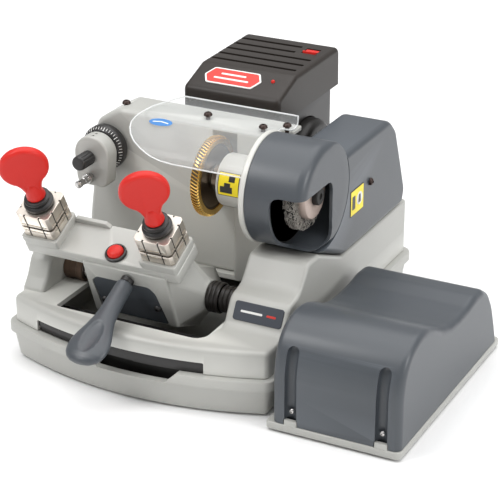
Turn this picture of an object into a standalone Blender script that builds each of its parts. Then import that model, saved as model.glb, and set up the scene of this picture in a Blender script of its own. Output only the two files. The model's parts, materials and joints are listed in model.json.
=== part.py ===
"""Key duplicating machine: cutter and tracer over a rocking carriage with two key clamps.

Lengths below are millimetres in the machine's own datum: X to the right, Y to the rear, Z up.
The root empty moves that datum so the object stands centred on the world origin.
"""
import math

import bmesh
import bpy
from mathutils import Matrix, Vector

for old in list(bpy.data.objects):
    bpy.data.objects.remove(old, do_unlink=True)

# ---- driving dimensions (mm) ----
MM = 0.001
GAP = 0.3                      # clearance left between touching pieces
ROOT_SHIFT = (12.0, -29.356, 0.0)

RIM_LEFT, RIM_RIGHT, RIM_BACK = -203.0, 65.0, 216.0
RIM_FRONT_MID, RIM_FRONT_RADIUS, RIM_FRONT_X = -126.0, 335.0, -69.0
TRAY_FLOOR_Z, TRAY_WALL_TOP, RIM_TOP = 2.3, 27.0, 37.0
DECK_Z = 62.0                  # top face of the casing
REAR_DECK_Z = 91.0             # raised deck below the belt cover
WELL = (-151.0, -2.0, -97.0, 31.0)

SHAFT_Y, SHAFT_Z, SHAFT_R = -34.0, 72.0, 9.0
SLEEVE_R, BOOT_R = 12.5, 12.2
CARRIAGE_TILT = 27.0           # degrees, clamps leaning towards the operator at rest
BODY_LEFT, BODY_RIGHT, BOSS_X = -131.0, -46.0, -27.0
PLATE_FRONT, PLATE_BACK, PLATE_LOW, PLATE_TOP = -27.0, 12.0, 45.0, 57.0
SEAT_TOP = 66.0
CLAMP_X = (-172.0, -52.0)
CLAMP_Y = -7.5                 # clamp axis in the carriage's own frame
JAW_SIDE = 34.0
LEVER_X, LEVER_Z = -85.0, 41.5

SPINDLE_Y, SPINDLE_Z = 17.0, 164.0
CUTTER_R, CUTTER_X0, CUTTER_X1, CUTTER_TEETH = 37.0, -56.0, -48.0, 72
DRUM_R, DRUM_X1 = 49.5, 60.0
NOSE_R, NOSE_X0 = 24.0, -37.0
TRACER_X, TRACER_Z = -171.0, 167.0
MOTOR_Y, MOTOR_Z, MOTOR_R = 152.0, 136.0, 42.0
PULLEY_X0, PULLEY_X1 = 11.0, 23.0
SPINDLE_PULLEY_R, MOTOR_PULLEY_R = 24.0, 20.0

FRAME_FRONT, FRAME_BACK, FRAME_TOP = 36.0, 78.0, 203.5
SIDE_X0, SIDE_X1, SIDE_Y0, SIDE_Y1 = 66.2, 190.0, -113.6, 124.0
HOOD = (-122.0, -22.0, 90.0, 225.0, 192.2, 230.0)

# ---- collections ----
product = bpy.data.collections.new("key_duplicating_machine")
cutters = bpy.data.collections.new("cutters")
bpy.context.scene.collection.children.link(product)
bpy.context.scene.collection.children.link(cutters)


def empty(name, location, tilt=0.0, parent=None):
    """A parent empty placed in millimetres, tilted about X in degrees."""
    node = bpy.data.objects.new(name, None)
    node.location = Vector(location) * MM
    node.rotation_euler = (math.radians(tilt), 0.0, 0.0)
    node.parent = parent
    product.objects.link(node)
    return node


ROOT = empty("machine_datum", ROOT_SHIFT)
CARRIAGE = empty("carriage_datum", (0.0, SHAFT_Y, SHAFT_Z), CARRIAGE_TILT, ROOT)
FRONT = empty("carriage_front_datum", (0.0, -29.0, 50.0), -6.8, CARRIAGE)


def material(name, colour, roughness, metallic=0.0, alpha=1.0):
    mat = bpy.data.materials.new(name)
    mat.use_nodes = True
    shader = mat.node_tree.nodes["Principled BSDF"]
    shader.inputs["Base Color"].default_value = (*colour, 1.0)
    shader.inputs["Roughness"].default_value = roughness
    shader.inputs["Metallic"].default_value = metallic
    shader.inputs["Alpha"].default_value = alpha
    return mat


LIGHT_GREY = ((0.50, 0.50, 0.46), 0.45, 0.1)
DARK_GREY = ((0.095, 0.105, 0.12), 0.42, 0.0)
BLACK = ((0.02, 0.02, 0.021), 0.45, 0.0)
BROWN_BLACK = ((0.05, 0.044, 0.04), 0.4, 0.0)
RED = ((0.68, 0.03, 0.02), 0.35, 0.0)
STEEL = ((0.55, 0.55, 0.56), 0.28, 1.0)
NICKEL = ((0.66, 0.6, 0.55), 0.25, 1.0)
BRASS = ((0.72, 0.45, 0.14), 0.3, 1.0)
RUBBER = ((0.03, 0.028, 0.026), 0.7, 0.0)


# ---- mesh helpers: every one returns a bmesh in millimetres ----
def prism(axis, outline, low, high, top_outline=None):
    """Extrude a flat outline along an axis; the two outlines may differ, as in a drafted wall."""
    order = {"X": lambda u, v, w: (w, u, v), "Y": lambda u, v, w: (u, w, v),
             "Z": lambda u, v, w: (u, v, w)}[axis]
    bm = bmesh.new()
    lower = [bm.verts.new(order(u, v, low)) for u, v in outline]
    upper = [bm.verts.new(order(u, v, high)) for u, v in (top_outline or outline)]
    bm.faces.new(list(reversed(lower)))
    bm.faces.new(upper)
    count = len(outline)
    for i in range(count):
        j = (i + 1) % count
        bm.faces.new((lower[i], lower[j], upper[j], upper[i]))
    bmesh.ops.recalc_face_normals(bm, faces=bm.faces)
    return bm


def box(x0, x1, y0, y1, z0, z1):
    return prism("Z", [(x0, y0), (x1, y0), (x1, y1), (x0, y1)], z0, z1)


def cylinder(axis, centre, radius, low, high, segments=40, end_radius=None):
    """Round bar along an axis; centre is the other two coordinates in X, Y, Z order."""
    bm = bmesh.new()
    bmesh.ops.create_cone(bm, cap_ends=True, segments=segments, radius1=radius,
                          radius2=radius if end_radius is None else end_radius, depth=high - low)
    turn = {"X": Matrix.Rotation(math.pi / 2, 4, "Y"), "Y": Matrix.Rotation(-math.pi / 2, 4, "X"),
            "Z": Matrix()}[axis]
    middle = (low + high) / 2
    a, b = centre
    place = {"X": (middle, a, b), "Y": (a, middle, b), "Z": (a, b, middle)}[axis]
    bmesh.ops.transform(bm, matrix=Matrix.Translation(place) @ turn, verts=bm.verts)
    return bm


def arc(cu, cv, radius, start, end, steps):
    """Points of an arc, angles in degrees from the first axis towards the second."""
    angles = [math.radians(start + (end - start) * i / steps) for i in range(steps + 1)]
    return [(cu + radius * math.cos(a), cv + radius * math.sin(a)) for a in angles]


def add(name, bm, look=None, parent=ROOT, origin=(0.0, 0.0, 0.0), smooth=False):
    """Turn a bmesh into a named object whose own origin is the given point of its parent's frame."""
    centre = Vector(origin)
    for vert in bm.verts:
        vert.co = (vert.co - centre) * MM
    mesh = bpy.data.meshes.new(name)
    bm.to_mesh(mesh)
    bm.free()
    obj = bpy.data.objects.new(name, mesh)
    obj.location = centre * MM
    obj.parent = parent
    if look is None:
        cutters.objects.link(obj)
        obj.hide_render = True
        obj.display_type = "WIRE"
    else:
        product.objects.link(obj)
        mesh.materials.append(material(name, *look))
    if smooth:
        mesh.shade_smooth()
    return obj


def boolean(obj, bm, operation="DIFFERENCE", parent=None):
    """Cut or join a helper body drawn in the same frame as the object."""
    tool = add(f"{obj.name}_tool_{len(obj.modifiers)}", bm, parent=parent or obj.parent)
    mod = obj.modifiers.new(operation.lower(), "BOOLEAN")
    mod.operation = operation
    mod.solver = "EXACT"
    mod.object = tool
    return obj


def bevel(obj, width, segments=2, angle=40.0):
    mod = obj.modifiers.new("bevel", "BEVEL")
    mod.width = width * MM
    mod.segments = segments
    mod.limit_method = "ANGLE"
    mod.angle_limit = math.radians(angle)
    return obj


def turned(name, profile, look, place, axis="Z", parent=ROOT, steps=24):
    """Turned piece: (radius, height) points from the top down the outside; a hollow one closes on itself."""
    mesh = bpy.data.meshes.new(name)
    edges = [(i, i + 1) for i in range(len(profile) - 1)]
    if profile[0][0] > 0:
        edges.append((len(profile) - 1, 0))
    mesh.from_pydata([(r * MM, 0.0, h * MM) for r, h in profile], edges, [])
    obj = bpy.data.objects.new(name, mesh)
    product.objects.link(obj)
    mesh.materials.append(material(name, *look))
    obj.parent = parent
    obj.location = Vector(place) * MM
    obj.rotation_euler = {"Z": (0, 0, 0), "X": (0, math.pi / 2, 0), "Y": (-math.pi / 2, 0, 0),
                          "-Y": (math.pi / 2, 0, 0)}[axis]
    mod = obj.modifiers.new("turn", "SCREW")
    mod.steps = mod.render_steps = steps
    mod.use_merge_vertices = True
    mod.merge_threshold = 0.00001
    mod.use_smooth_shade = False
    return obj


def ring(name, outer, inner, low, high, look, place, axis="X", parent=ROOT, steps=24, edge=0.6):
    """Turned ring with small edge chamfers."""
    profile = [(inner, high), (outer - edge, high), (outer, high - edge), (outer, low + edge),
               (outer - edge, low), (inner, low)]
    return turned(name, profile, look, place, axis, parent, steps)


# ---- base tray ----
def front_y(x, inset):
    """Bowed front edge of the base, set in by a margin."""
    radius = RIM_FRONT_RADIUS - inset
    return RIM_FRONT_MID + RIM_FRONT_RADIUS - math.sqrt(radius ** 2 - (x - RIM_FRONT_X) ** 2)


def front_points(left, right, inset, steps):
    return [(x, front_y(x, inset)) for x in [left + (right - left) * i / steps for i in range(steps + 1)]]


def base_outline(inset):
    """Plan of the base: straight sides and back, bowed front, rounded corners."""
    left, right, back = RIM_LEFT + inset, RIM_RIGHT - inset, RIM_BACK - inset
    corner = 10.0
    near_left, near_right = front_y(left, inset), front_y(right, inset)
    points = [(left, near_left + corner), (left + corner * 0.3, near_left + corner * 0.3)]
    points += front_points(left + corner, right - corner, inset, 14)
    points += [(right - corner * 0.3, near_right + corner * 0.3), (right, near_right + corner)]
    points += arc(right - corner, back - corner, corner, 0, 90, 4)
    points += arc(left + corner, back - corner, corner, 90, 180, 4)
    return points


tray = add("base_tray", prism("Z", base_outline(8), TRAY_FLOOR_Z, TRAY_WALL_TOP, base_outline(3.5)),
           LIGHT_GREY)
boolean(tray, prism("Z", base_outline(0), TRAY_WALL_TOP - 1, RIM_TOP), "UNION")
boolean(tray, prism("Z", base_outline(10.5), 5.0, 34.5, base_outline(6.2)))
boolean(tray, prism("Z", base_outline(9.0), 33, RIM_TOP + 2))
boolean(tray, prism("Y", [(-92, 28), (-27, 28), (-13, 40), (-104, 40)], -135, -100))

# ---- casing ----
casing = bevel(add("base_casing", prism("Z", base_outline(6), RIM_TOP + GAP, DECK_Z), LIGHT_GREY), 5.0, 3)
casing.modifiers["bevel"].offset_type = "OFFSET"
boolean(casing, prism("Z", base_outline(10), RIM_TOP - 2, DECK_Z - 4))
boolean(casing, box(-166, 6, -140, -100, RIM_TOP - 2, 49))
WING = [(-79, 58.5), (-79, 62.2), (-62, 63.5), (-48.5, 87.5), (-44, 89.7), (-30, 90.2), (-21, 95), (-16, 104),
        (-13, 112), (8, 112.6), (58, REAR_DECK_Z), (206, REAR_DECK_Z), (209, 88), (209, 58.5)]
boolean(casing, prism("X", WING, 0, 58.5), "UNION")
POST = [(-84, 58.5), (-80, 64), (-73, 73), (-66, 88), (-57, 97), (-40, 101), (-20, 98), (-8, 88), (-1, 72),
        (3, 58.5)]
boolean(casing, prism("X", POST, -197, -175), "UNION")
wx0, wx1, wy0, wy1 = WELL
well_plan = (arc(wx0 + 3, wy0 + 3, 3, 180, 270, 3) + arc(wx1 - 9, wy0 + 9, 9, 270, 360, 5)
             + [(wx1, wy1), (wx0, wy1)])
boolean(casing, prism("Z", well_plan, 50, 75))
boolean(casing, cylinder("X", (SHAFT_Y, SHAFT_Z), SHAFT_R + GAP, -200, -170, 40))
boolean(casing, cylinder("X", (SHAFT_Y, SHAFT_Z), SLEEVE_R + GAP, -174.9, -148, 40))
boolean(casing, cylinder("X", (SHAFT_Y, SHAFT_Z), BOOT_R + GAP, -8, -0.4, 40))
boolean(casing, cylinder("X", (SHAFT_Y, SHAFT_Z), SHAFT_R + GAP, -5, 40, 40))
boolean(casing, box(17.7, 46.3, 196, 215, 65.7, 86.3))

DRAWER_BACK = -67.0
drawer_plan = front_points(-165.5, 5.5, 7.5, 10) + [(5.5, DRAWER_BACK), (-165.5, DRAWER_BACK)]
drawer_bin = front_points(-163, 3, 10.5, 10) + [(3, DRAWER_BACK - 2.5), (-163, DRAWER_BACK - 2.5)]
drawer = add("chip_drawer", prism("Z", drawer_plan, RIM_TOP + 0.6, 47.4), DARK_GREY)
boolean(drawer, prism("Z", drawer_bin, 39.6, 52))
boolean(drawer, prism("Z", front_points(-170, -60, 9.0, 8) + [(-60, -130), (-170, -130)], 35, 42))

# ---- feet ----
for index, (x, y) in enumerate([(-178, -78), (42, -80), (-178, 196), (176, 106)], 1):
    turned(f"foot_{index}", [(0, 2.0), (8, 2.0), (9, 1.6), (9, 0), (0, 0)], RUBBER, (x, y, 0), steps=24)

# ---- side unit: base plate, cover, inner board ----
bevel(add("side_plate", box(SIDE_X0, SIDE_X1, SIDE_Y0, SIDE_Y1, TRAY_FLOOR_Z, 9.2), LIGHT_GREY), 2.0)
SIDE_PROFILE = [(-112.6, 9.5), (-113, 62), (-110, 75), (-102, 87), (-91, 95), (-77, 99.5), (-61, 99.5),
                (-45, 94.5), (-27, 85.5), (-9, 79), (12, 76), (38, 76.5), (60, 79.5), (77, 78), (92, 68),
                (102, 54), (112, 30), (119, 9.5)]
SIDE_HOLLOW = [(-109.2, 8), (-109.6, 61.6), (-107, 73.4), (-99.8, 84.4), (-89.6, 91.8), (-76.4, 96),
               (-61.4, 96), (-46.2, 91.2), (-28.2, 82.2), (-9.8, 75.6), (12, 72.6), (38, 73.1), (59.6, 76),
               (75.6, 74.6), (89.4, 65.8), (99, 52.4), (108.9, 28.8), (115.6, 8)]
side_cover = bevel(add("side_cover", prism("X", SIDE_PROFILE, 72, 189.3), DARK_GREY), 5.0, 3, 50)
boolean(side_cover, prism("X", SIDE_HOLLOW, 75.5, 185.8))
for x in (89.5, 172.5):
    boolean(side_cover, box(x - 5.5, x + 5.5, -125, -111.2, 14, 86))
    boolean(side_cover, cylinder("Y", (x, 23.5), 2.4, -125, -100, 20))
for side, x in (("left", 89.5), ("right", 172.5)):
    turned(f"side_cover_screw_{side}", [(0, 3.2), (2.4, 3.0), (3.9, 1.6), (4.1, 0), (2, 0), (2, -7), (0, -7)],
           STEEL, (x, -111.2 - GAP, 23.5), "-Y", steps=12)
board = add("control_board", box(98, 170, -60, 60, 14, 16), ((0.03, 0.2, 0.08), 0.5, 0.0))
for x0, x1, y0, y1, z1 in ((104, 134, -48, -10, 44), (104, 116, 4, 16, 46), (126, 150, 14, 46, 30),
                           (150, 162, -50, 2, 26)):
    boolean(board, box(x0, x1, y0, y1, 15, z1), "UNION")
for x, y in ((102, -56), (166, 56), (102, 56), (166, -56)):
    boolean(board, cylinder("Z", (x, y), 3, 9.2 + GAP, 15, 12), "UNION")

# ---- frame casting with the spindle nose and the drum flange ----
FRONT_FACE = [(-196.5, DECK_Z + GAP), (-196, 90), (-192, 120), (-188, 152), (-187, 180), (-183, 190),
              (-172, 197), (-160, FRAME_TOP), (-2, FRAME_TOP), (-2, DECK_Z + GAP)]
frame = bevel(add("frame_casting", prism("Y", FRONT_FACE, FRAME_FRONT, FRAME_BACK), LIGHT_GREY), 5.0, 3)
boolean(frame, box(-182, -78, 43, 90, 55, 190))
boolean(frame, box(-70, -8, 64, 90, 55, 195))
boolean(frame, cylinder("X", (SPINDLE_Y, SPINDLE_Z), CUTTER_R + 4, -62, NOSE_X0, 48))
boolean(frame, box(NOSE_X0 + 0.5, -3, 24, 50, DECK_Z + GAP, 160), "UNION")
boolean(frame, cylinder("X", (SPINDLE_Y, SPINDLE_Z), NOSE_R, NOSE_X0 - 0.5, 2, 48), "UNION")
boolean(frame, cylinder("X", (SPINDLE_Y, SPINDLE_Z), DRUM_R + 1, -1, 4, 64), "UNION")
boolean(frame, cylinder("X", (SPINDLE_Y, SPINDLE_Z), 14, -60, 10, 40))
boolean(frame, box(-6, 9, 56, 74, 199.6, FRAME_TOP - 0.4), "UNION")
SHIELD_SCREWS = (("left", -74.0, 50.0), ("right", 2.5, 57.0))
for _, x, y in SHIELD_SCREWS:
    boolean(frame, cylinder("Z", (x, y), 2.4, 190, 210, 16))
boolean(frame, cylinder("Y", (TRACER_X, TRACER_Z), 6.3, 30, 50, 24))
LUG_SCREW = (-161.0, 52.0)
boolean(frame, cylinder("Z", LUG_SCREW, 2.4, 185, 210, 16))
SCREW_HEAD = [(0, 2.4), (2.0, 2.3), (3.4, 1.5), (4.0, 0), (2, 0), (2, -8), (0, -8)]
turned("frame_screw", SCREW_HEAD, STEEL, (*LUG_SCREW, FRAME_TOP + GAP), steps=12)

# ---- clear shield over the cutter ----
SHIELD_ROWS = [(66, 215, -120, 9), (65.2, 209, -124, 9), (63, 206, -129, 9), (53, 205.8, -132, 9),
               (51.9, 205.8, -132, -1.4), (30, 205.8, -134, -1.4), (16, 205.4, -131, -1.4),
               (4, 203, -123, -1.4), (-6, 199, -112, -1.4), (-14, 193, -99, -1.4), (-18, 187.5, -86, -1.4),
               (-19.5, 184, -74, -1.4)]
SHIELD_COLUMNS = 10
shield_mesh = bmesh.new()
grid = [[shield_mesh.verts.new((x0 + (x1 - x0) * i / SHIELD_COLUMNS, y, z))
         for i in range(SHIELD_COLUMNS + 1)] for y, z, x0, x1 in SHIELD_ROWS]
for near, far in zip(grid, grid[1:]):
    for i in range(SHIELD_COLUMNS):
        shield_mesh.faces.new((near[i], far[i], far[i + 1], near[i + 1]))
shield = add("shield", shield_mesh, ((0.8, 0.83, 0.85), 0.08, 0.0, 0.3))
sheet = shield.modifiers.new("sheet", "SOLIDIFY")
sheet.thickness = 2 * MM
sheet.offset = 0
for side, x, y in SHIELD_SCREWS:
    boolean(shield, cylinder("Z", (x, y), 2.6, 190, 220, 16))
    turned(f"shield_screw_{side}", SCREW_HEAD, ((0.12, 0.06, 0.05), 0.4, 0.3), (x, y, 207.2), steps=12)

# ---- tracer ----
arch = [(-187, 141), (-183, 137), (-159, 137), (-155, 141)] + arc(TRACER_X, TRACER_Z, 18.3, 0, 180, 16)
arch_front = [(TRACER_X + (x - TRACER_X) * 0.93, TRACER_Z + (z - TRACER_Z) * 0.95) for x, z in arch]
head = bevel(add("tracer_head", prism("Y", arch_front, 3, 19.8, arch), LIGHT_GREY), 1.6, 2)
boolean(head, cylinder("Y", (TRACER_X, TRACER_Z), 6, 15, 44, 24), "UNION")
boolean(head, cylinder("Y", (CLAMP_X[0], 146), 3.3, -5, 14, 20))
DIAL_Y = 20.2
turned("tracer_dial", [(6.4, 12.5), (21, 12.5), (21.8, 11.7), (21.8, 4.2), (18.6, 0.2), (6.4, 0.2)], BLACK,
       (TRACER_X, DIAL_Y, TRACER_Z), "Y", steps=48)
turned("tracer_lock_knob", [(0, 21.4), (5.8, 21.4), (7, 20.2), (7, 2.4), (5, 0), (0, 0)], BLACK,
       (CLAMP_X[0], 3 - GAP, 166), "-Y", steps=20)
turned("tracer_point", [(0, 20), (1.8, 20), (2.6, 18.4), (2.6, 10), (3, 9.5), (3, 4.5), (5, 4.5), (5, -0.7),
                        (3, -0.7), (3, -12), (0, -12)], STEEL, (CLAMP_X[0], 0, 146), "-Y", steps=24)

# ---- spindle: cutter, nut, brush, pulley, bearings ----
AXIS = (0.0, SPINDLE_Y, SPINDLE_Z)
turned("spindle_shaft", [(0, 55), (7.2, 55), (8, 54), (8, -38.5), (12, -38.8), (12, -47.6), (8, -47.6),
       (8, -66), (6.8, -67.5), (0, -67.5)], STEEL, AXIS, "X")
teeth = []
for i in range(CUTTER_TEETH):
    a = 2 * math.pi * i / CUTTER_TEETH
    half = math.pi / CUTTER_TEETH
    teeth += [(CUTTER_R * math.cos(a), CUTTER_R * math.sin(a)),
              ((CUTTER_R - 1.5) * math.cos(a + half), (CUTTER_R - 1.5) * math.sin(a + half))]
cutter = add("cutter_wheel", prism("X", [(SPINDLE_Y + y, SPINDLE_Z + z) for y, z in teeth], CUTTER_X0,
             CUTTER_X1), BRASS, origin=AXIS)
boolean(cutter, cylinder("X", (SPINDLE_Y, SPINDLE_Z), 30, CUTTER_X1 - 1.6, CUTTER_X1 + 2, 40))
boolean(cutter, cylinder("X", (SPINDLE_Y, SPINDLE_Z), 8 + GAP, -60, -40, 32))
nut = add("cutter_nut", prism("X", [(SPINDLE_Y + y, SPINDLE_Z + z) for y, z in arc(0, 0, 14, 0, 300, 5)],
                              -65, CUTTER_X0 - GAP), STEEL, origin=AXIS)
boolean(nut, cylinder("X", (SPINDLE_Y, SPINDLE_Z), 8 + GAP, -70, -50, 32))
ring("spindle_bearing_left", 14 - GAP, 8 + GAP, -35, -24, STEEL, AXIS)
ring("spindle_bearing_right", 14 - GAP, 8 + GAP, -9, 2, STEEL, AXIS)
ring("spindle_pulley", SPINDLE_PULLEY_R, 8 + GAP, PULLEY_X0, PULLEY_X1, ((0.4, 0.4, 0.4), 0.4, 0.8), AXIS)
turned("wire_brush", [(8.3, 50), (20.7, 50), (21.7, 49), (21.7, 46), (31, 46), (33, 44), (33, 34), (31, 32),
                      (21.7, 32), (21.7, 29), (8.3, 29)], ((0.3, 0.29, 0.27), 0.6, 0.7), AXIS, "X")

# ---- brush guard: a drum with a window in its lower front quarter ----
guard = turned("brush_guard", [(0, DRUM_X1)] + arc(DRUM_R - 8, DRUM_X1 - 8, 8, 90, 0, 4)
               + [(DRUM_R, 4 + GAP), (DRUM_R - 3, 4 + GAP), (DRUM_R - 3, DRUM_X1 - 3), (0, DRUM_X1 - 3)],
               DARK_GREY, AXIS, "X", steps=56)
DRUM_RIM = [(SPINDLE_Y + y, SPINDLE_Z + z) for y, z in arc(0, 0, DRUM_R - 0.05, -78, 66, 24)
            + arc(0, 0, DRUM_R - 2.5, 66, -78, 24)]
boolean(guard, prism("X", DRUM_RIM, 50, DRUM_X1), "UNION")
window = bevel(add("window_tool", box(28.5, 66, -50, 31, 119.5, 174)), 9.0, 4)
mod = guard.modifiers.new("window", "BOOLEAN")
mod.object, mod.solver = window, "EXACT"
boolean(guard, box(6, 30, 45, 75, 120, 200))

# ---- belt cover, belt, motor ----
COVER_OUTER = [(13, 113.6), (60, REAR_DECK_Z + 0.4), (197, REAR_DECK_Z + 0.4), (202, 106), (176, 174),
               (168, 184), (156, 189), (50, 189)]
COVER_INNER = [(21, 113.2), (62, 94.6), (194.6, 94.6), (198.4, 106), (173, 172.6), (166, 181.6), (155, 185.8),
               (50, 185.8)]
cover = bevel(add("belt_cover", prism("X", COVER_OUTER, 10, 60), DARK_GREY), 6.0, 3, 30)
boolean(cover, prism("X", COVER_INNER, 8, 57))
boolean(cover, cylinder("X", (SPINDLE_Y, SPINDLE_Z), DRUM_R + 0.4, 0, 70, 72))
COVER_SCREW = (114.0, 144.0)
boolean(cover, cylinder("X", COVER_SCREW, 2.4, 50, 64, 16))
turned("belt_cover_screw", [(0, 2.2), (2.4, 2.2), (4, 1.2), (4, 0), (2, 0), (2, -12), (0, -12)], STEEL,
       (60 + GAP, *COVER_SCREW), "X", steps=12)


def belt_loop(margin):
    """Outline of a belt round both pulleys, seen along X."""
    dy, dz = MOTOR_Y - SPINDLE_Y, MOTOR_Z - SPINDLE_Z
    lean = math.degrees(math.atan2(dz, dy))
    wrap = math.degrees(math.acos((SPINDLE_PULLEY_R - MOTOR_PULLEY_R) / math.hypot(dy, dz)))
    near = arc(SPINDLE_Y, SPINDLE_Z, SPINDLE_PULLEY_R + margin, lean + wrap, lean + 360 - wrap, 16)
    return near + arc(MOTOR_Y, MOTOR_Z, MOTOR_PULLEY_R + margin, lean - wrap, lean + wrap, 14)


belt = add("drive_belt", prism("X", belt_loop(3.4), 13, 21), RUBBER)
boolean(belt, prism("X", belt_loop(0.4), 12, 22))
MOTOR_AXIS = (0.0, MOTOR_Y, MOTOR_Z)
turned("motor_pulley", [(0, 28), (6, 28), (6, PULLEY_X1), (19.4, PULLEY_X1),
       (MOTOR_PULLEY_R, PULLEY_X1 - 0.6), (MOTOR_PULLEY_R, PULLEY_X0 + 0.6), (19.4, PULLEY_X0),
       (6, PULLEY_X0), (6, -11.5), (0, -11.5)], STEEL, MOTOR_AXIS, "X")
motor = bevel(add("motor_body", cylinder("X", (MOTOR_Y, MOTOR_Z), MOTOR_R, -150, -12, 48), BLACK), 6.0, 3, 50)
boolean(motor, box(-100, -44, 126, 178, DECK_Z + GAP, 100), "UNION")
hx0, hx1, hy0, hy1, hz0, hz1 = HOOD
housing = bevel(add("motor_housing", box(hx0 + 3, hx1 - 3, 94, 214, DECK_Z + GAP, hz0 - 0.5), BLACK), 3.0)
boolean(housing, box(hx0 + 6, hx1 - 6, 97, 211, 50, hz0 - 3.5))
boolean(housing, cylinder("X", (MOTOR_Y, MOTOR_Z), MOTOR_R + 0.6, -140, 0, 48))

HOOD_OUTER = [(hy0, hz0), (hy0, 214), (93, 218), (127, 228.8), (133, hz1), (216, hz1), (222, 228), (hy1, 222),
              (hy1, hz0)]
HOOD_INNER = [(93, 185), (93, 212.8), (95.4, 215.2), (128, 225.8), (134, 227), (215, 227), (220, 225.2),
              (222, 221), (222, 185)]
hood = bevel(add("motor_hood", prism("X", HOOD_OUTER, hx0, hx1), BROWN_BLACK), 3.0, 2, 50)
boolean(hood, prism("X", HOOD_INNER, hx0 + 3, hx1 - 3))
VENT_Y = (140, 156, 172, 188, 204)
for y in VENT_Y:
    boolean(hood, box(hx0 - 2, -29 if y < 180 else -53, y - 2, y + 2, 224.5, 234))
boolean(hood, box(-47.5, -32.5, 189, 204, 220, 235))
ROCKER = (-40.0, 196.5, 225.5)
rocker_side = [(191.2, 223.5), (201.8, 223.5), (201.8, 229.6), (196.5, 229.4), (191.2, 232)]
add("rocker_switch", prism("X", rocker_side, -46.8, -33.2), RED, origin=ROCKER)

# ---- power inlet and nameplate ----
inlet = add("power_inlet", box(18, 46, 198, 209.6, 66, 86), BLACK)
boolean(inlet, box(15, 49, 209 + GAP, 211.5, 63.5, 88.5), "UNION")
boolean(inlet, box(21, 43, 202, 215, 69, 83))
for x, z in ((26, 74), (32, 78), (38, 74)):
    boolean(inlet, box(x - 1, x + 1, 200, 208, z - 2, z + 2), "UNION")
PLATE_SLOPE = math.degrees(math.atan2(13.5, 24.0))
WING_FACE = empty("wing_face_datum", (31.0, -55.25, 75.5), -PLATE_SLOPE, ROOT)
bevel(add("nameplate", box(-23.5, 23.5, -1.6, -GAP, -8.5, 8.5), DARK_GREY, WING_FACE), 2.5, 3, 60)

# ---- carriage shaft, sleeve and boots ----
SHAFT = (0.0, SHAFT_Y, SHAFT_Z)
turned("carriage_shaft", [(0, 24), (8.4, 24), (SHAFT_R, 23.4), (SHAFT_R, -195.8), (8.4, -196.4),
       (0, -196.4)], STEEL, SHAFT, "X")
turned("shaft_end_knob", [(0, -196.7), (4.2, -196.7), (4.7, -199), (4.7, -212.6), (3.6, -214), (0, -214)],
       BLACK, SHAFT, "X", steps=24)
ring("shaft_sleeve", SLEEVE_R, SHAFT_R + GAP, -174.7, -155, ((0.1, 0.06, 0.045), 0.5, 0.2), SHAFT)
ring("boot_fixed", BOOT_R, SHAFT_R + GAP, -14.5, -0.7, RUBBER, SHAFT, edge=1.2)
ring("boot_moving", 14.2, BOOT_R + GAP, BOSS_X + GAP, -14.8, RUBBER, SHAFT, edge=0.6)

# ---- carriage body and its front panel ----
CORE = [(-29, 50), (-36, -8.5), (-6.6, -40.9), (44.6, -44.2), (42.2, -15.2), (15.6, 16), (PLATE_BACK, 45),
        (PLATE_BACK, 50)]
body = bevel(add("carriage_body", prism("X", CORE, BODY_LEFT, BODY_RIGHT), LIGHT_GREY, CARRIAGE), 2.5)
boolean(body, box(-190.5, -33.5, PLATE_FRONT, PLATE_BACK, PLATE_LOW, PLATE_TOP), "UNION")
for x in CLAMP_X:
    top = [(x - 18.5, PLATE_FRONT - 0.2), (x + 18.5, PLATE_FRONT - 0.2), (x + 18.5, 11), (x - 18.5, 11)]
    low = [(x - 15.5, PLATE_FRONT + 1.2), (x + 16.5, PLATE_FRONT + 1.2), (x + 16.5, 9), (x - 15.5, 9)]
    boolean(body, prism("Z", low, PLATE_LOW - 1, SEAT_TOP, top), "UNION")
boolean(body, prism("Y", [(-156, 56), (-116, 56), (-122, 62), (-153, 62)], 7.4, 11.6), "UNION")
FLARE = [(-9, 12), (-14.2, -3), (-7, -13), (7, -13), (14, -5), (11, 9), (6, 14), (0, 15)]
boolean(body, prism("X", [(y * 0.98, z * 0.98) for y, z in CORE], BODY_RIGHT - 1, BOSS_X, FLARE), "UNION")
boolean(body, cylinder("X", (0, 0), SHAFT_R + GAP, -140, -25, 40))
PANEL = [(-124.6, -21), (-119.6, -15.4), (-66.4, -15.4), (-61.4, -21), (-54.9, -57.2), (-120.2, -57.2)]
POCKET = [(-125.3, -20.8), (-119.8, -14.8), (-66.2, -14.8), (-60.8, -20.8), (-52.4, -66), (-121.3, -66)]
boolean(body, prism("Y", POCKET, -6, 3), parent=FRONT)
panel = add("carriage_panel", prism("Y", PANEL, 0.2, 2.7), DARK_GREY, FRONT)
for side, x, z in (("left", -116.5, -42), ("right", -62, -39)):
    boolean(panel, cylinder("Y", (x, z), 1.9, -4, 6, 16))
    boolean(body, cylinder("Y", (x, z), 1.9, -4, 10, 16), parent=FRONT)
    turned(f"panel_screw_{side}", [(0, 1.9), (1.6, 1.9), (3, 1.1), (3.2, 0), (1.5, 0), (1.5, -6), (0, -6)],
           BLACK, (x, -0.1, z), "-Y", FRONT, steps=16)

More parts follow.
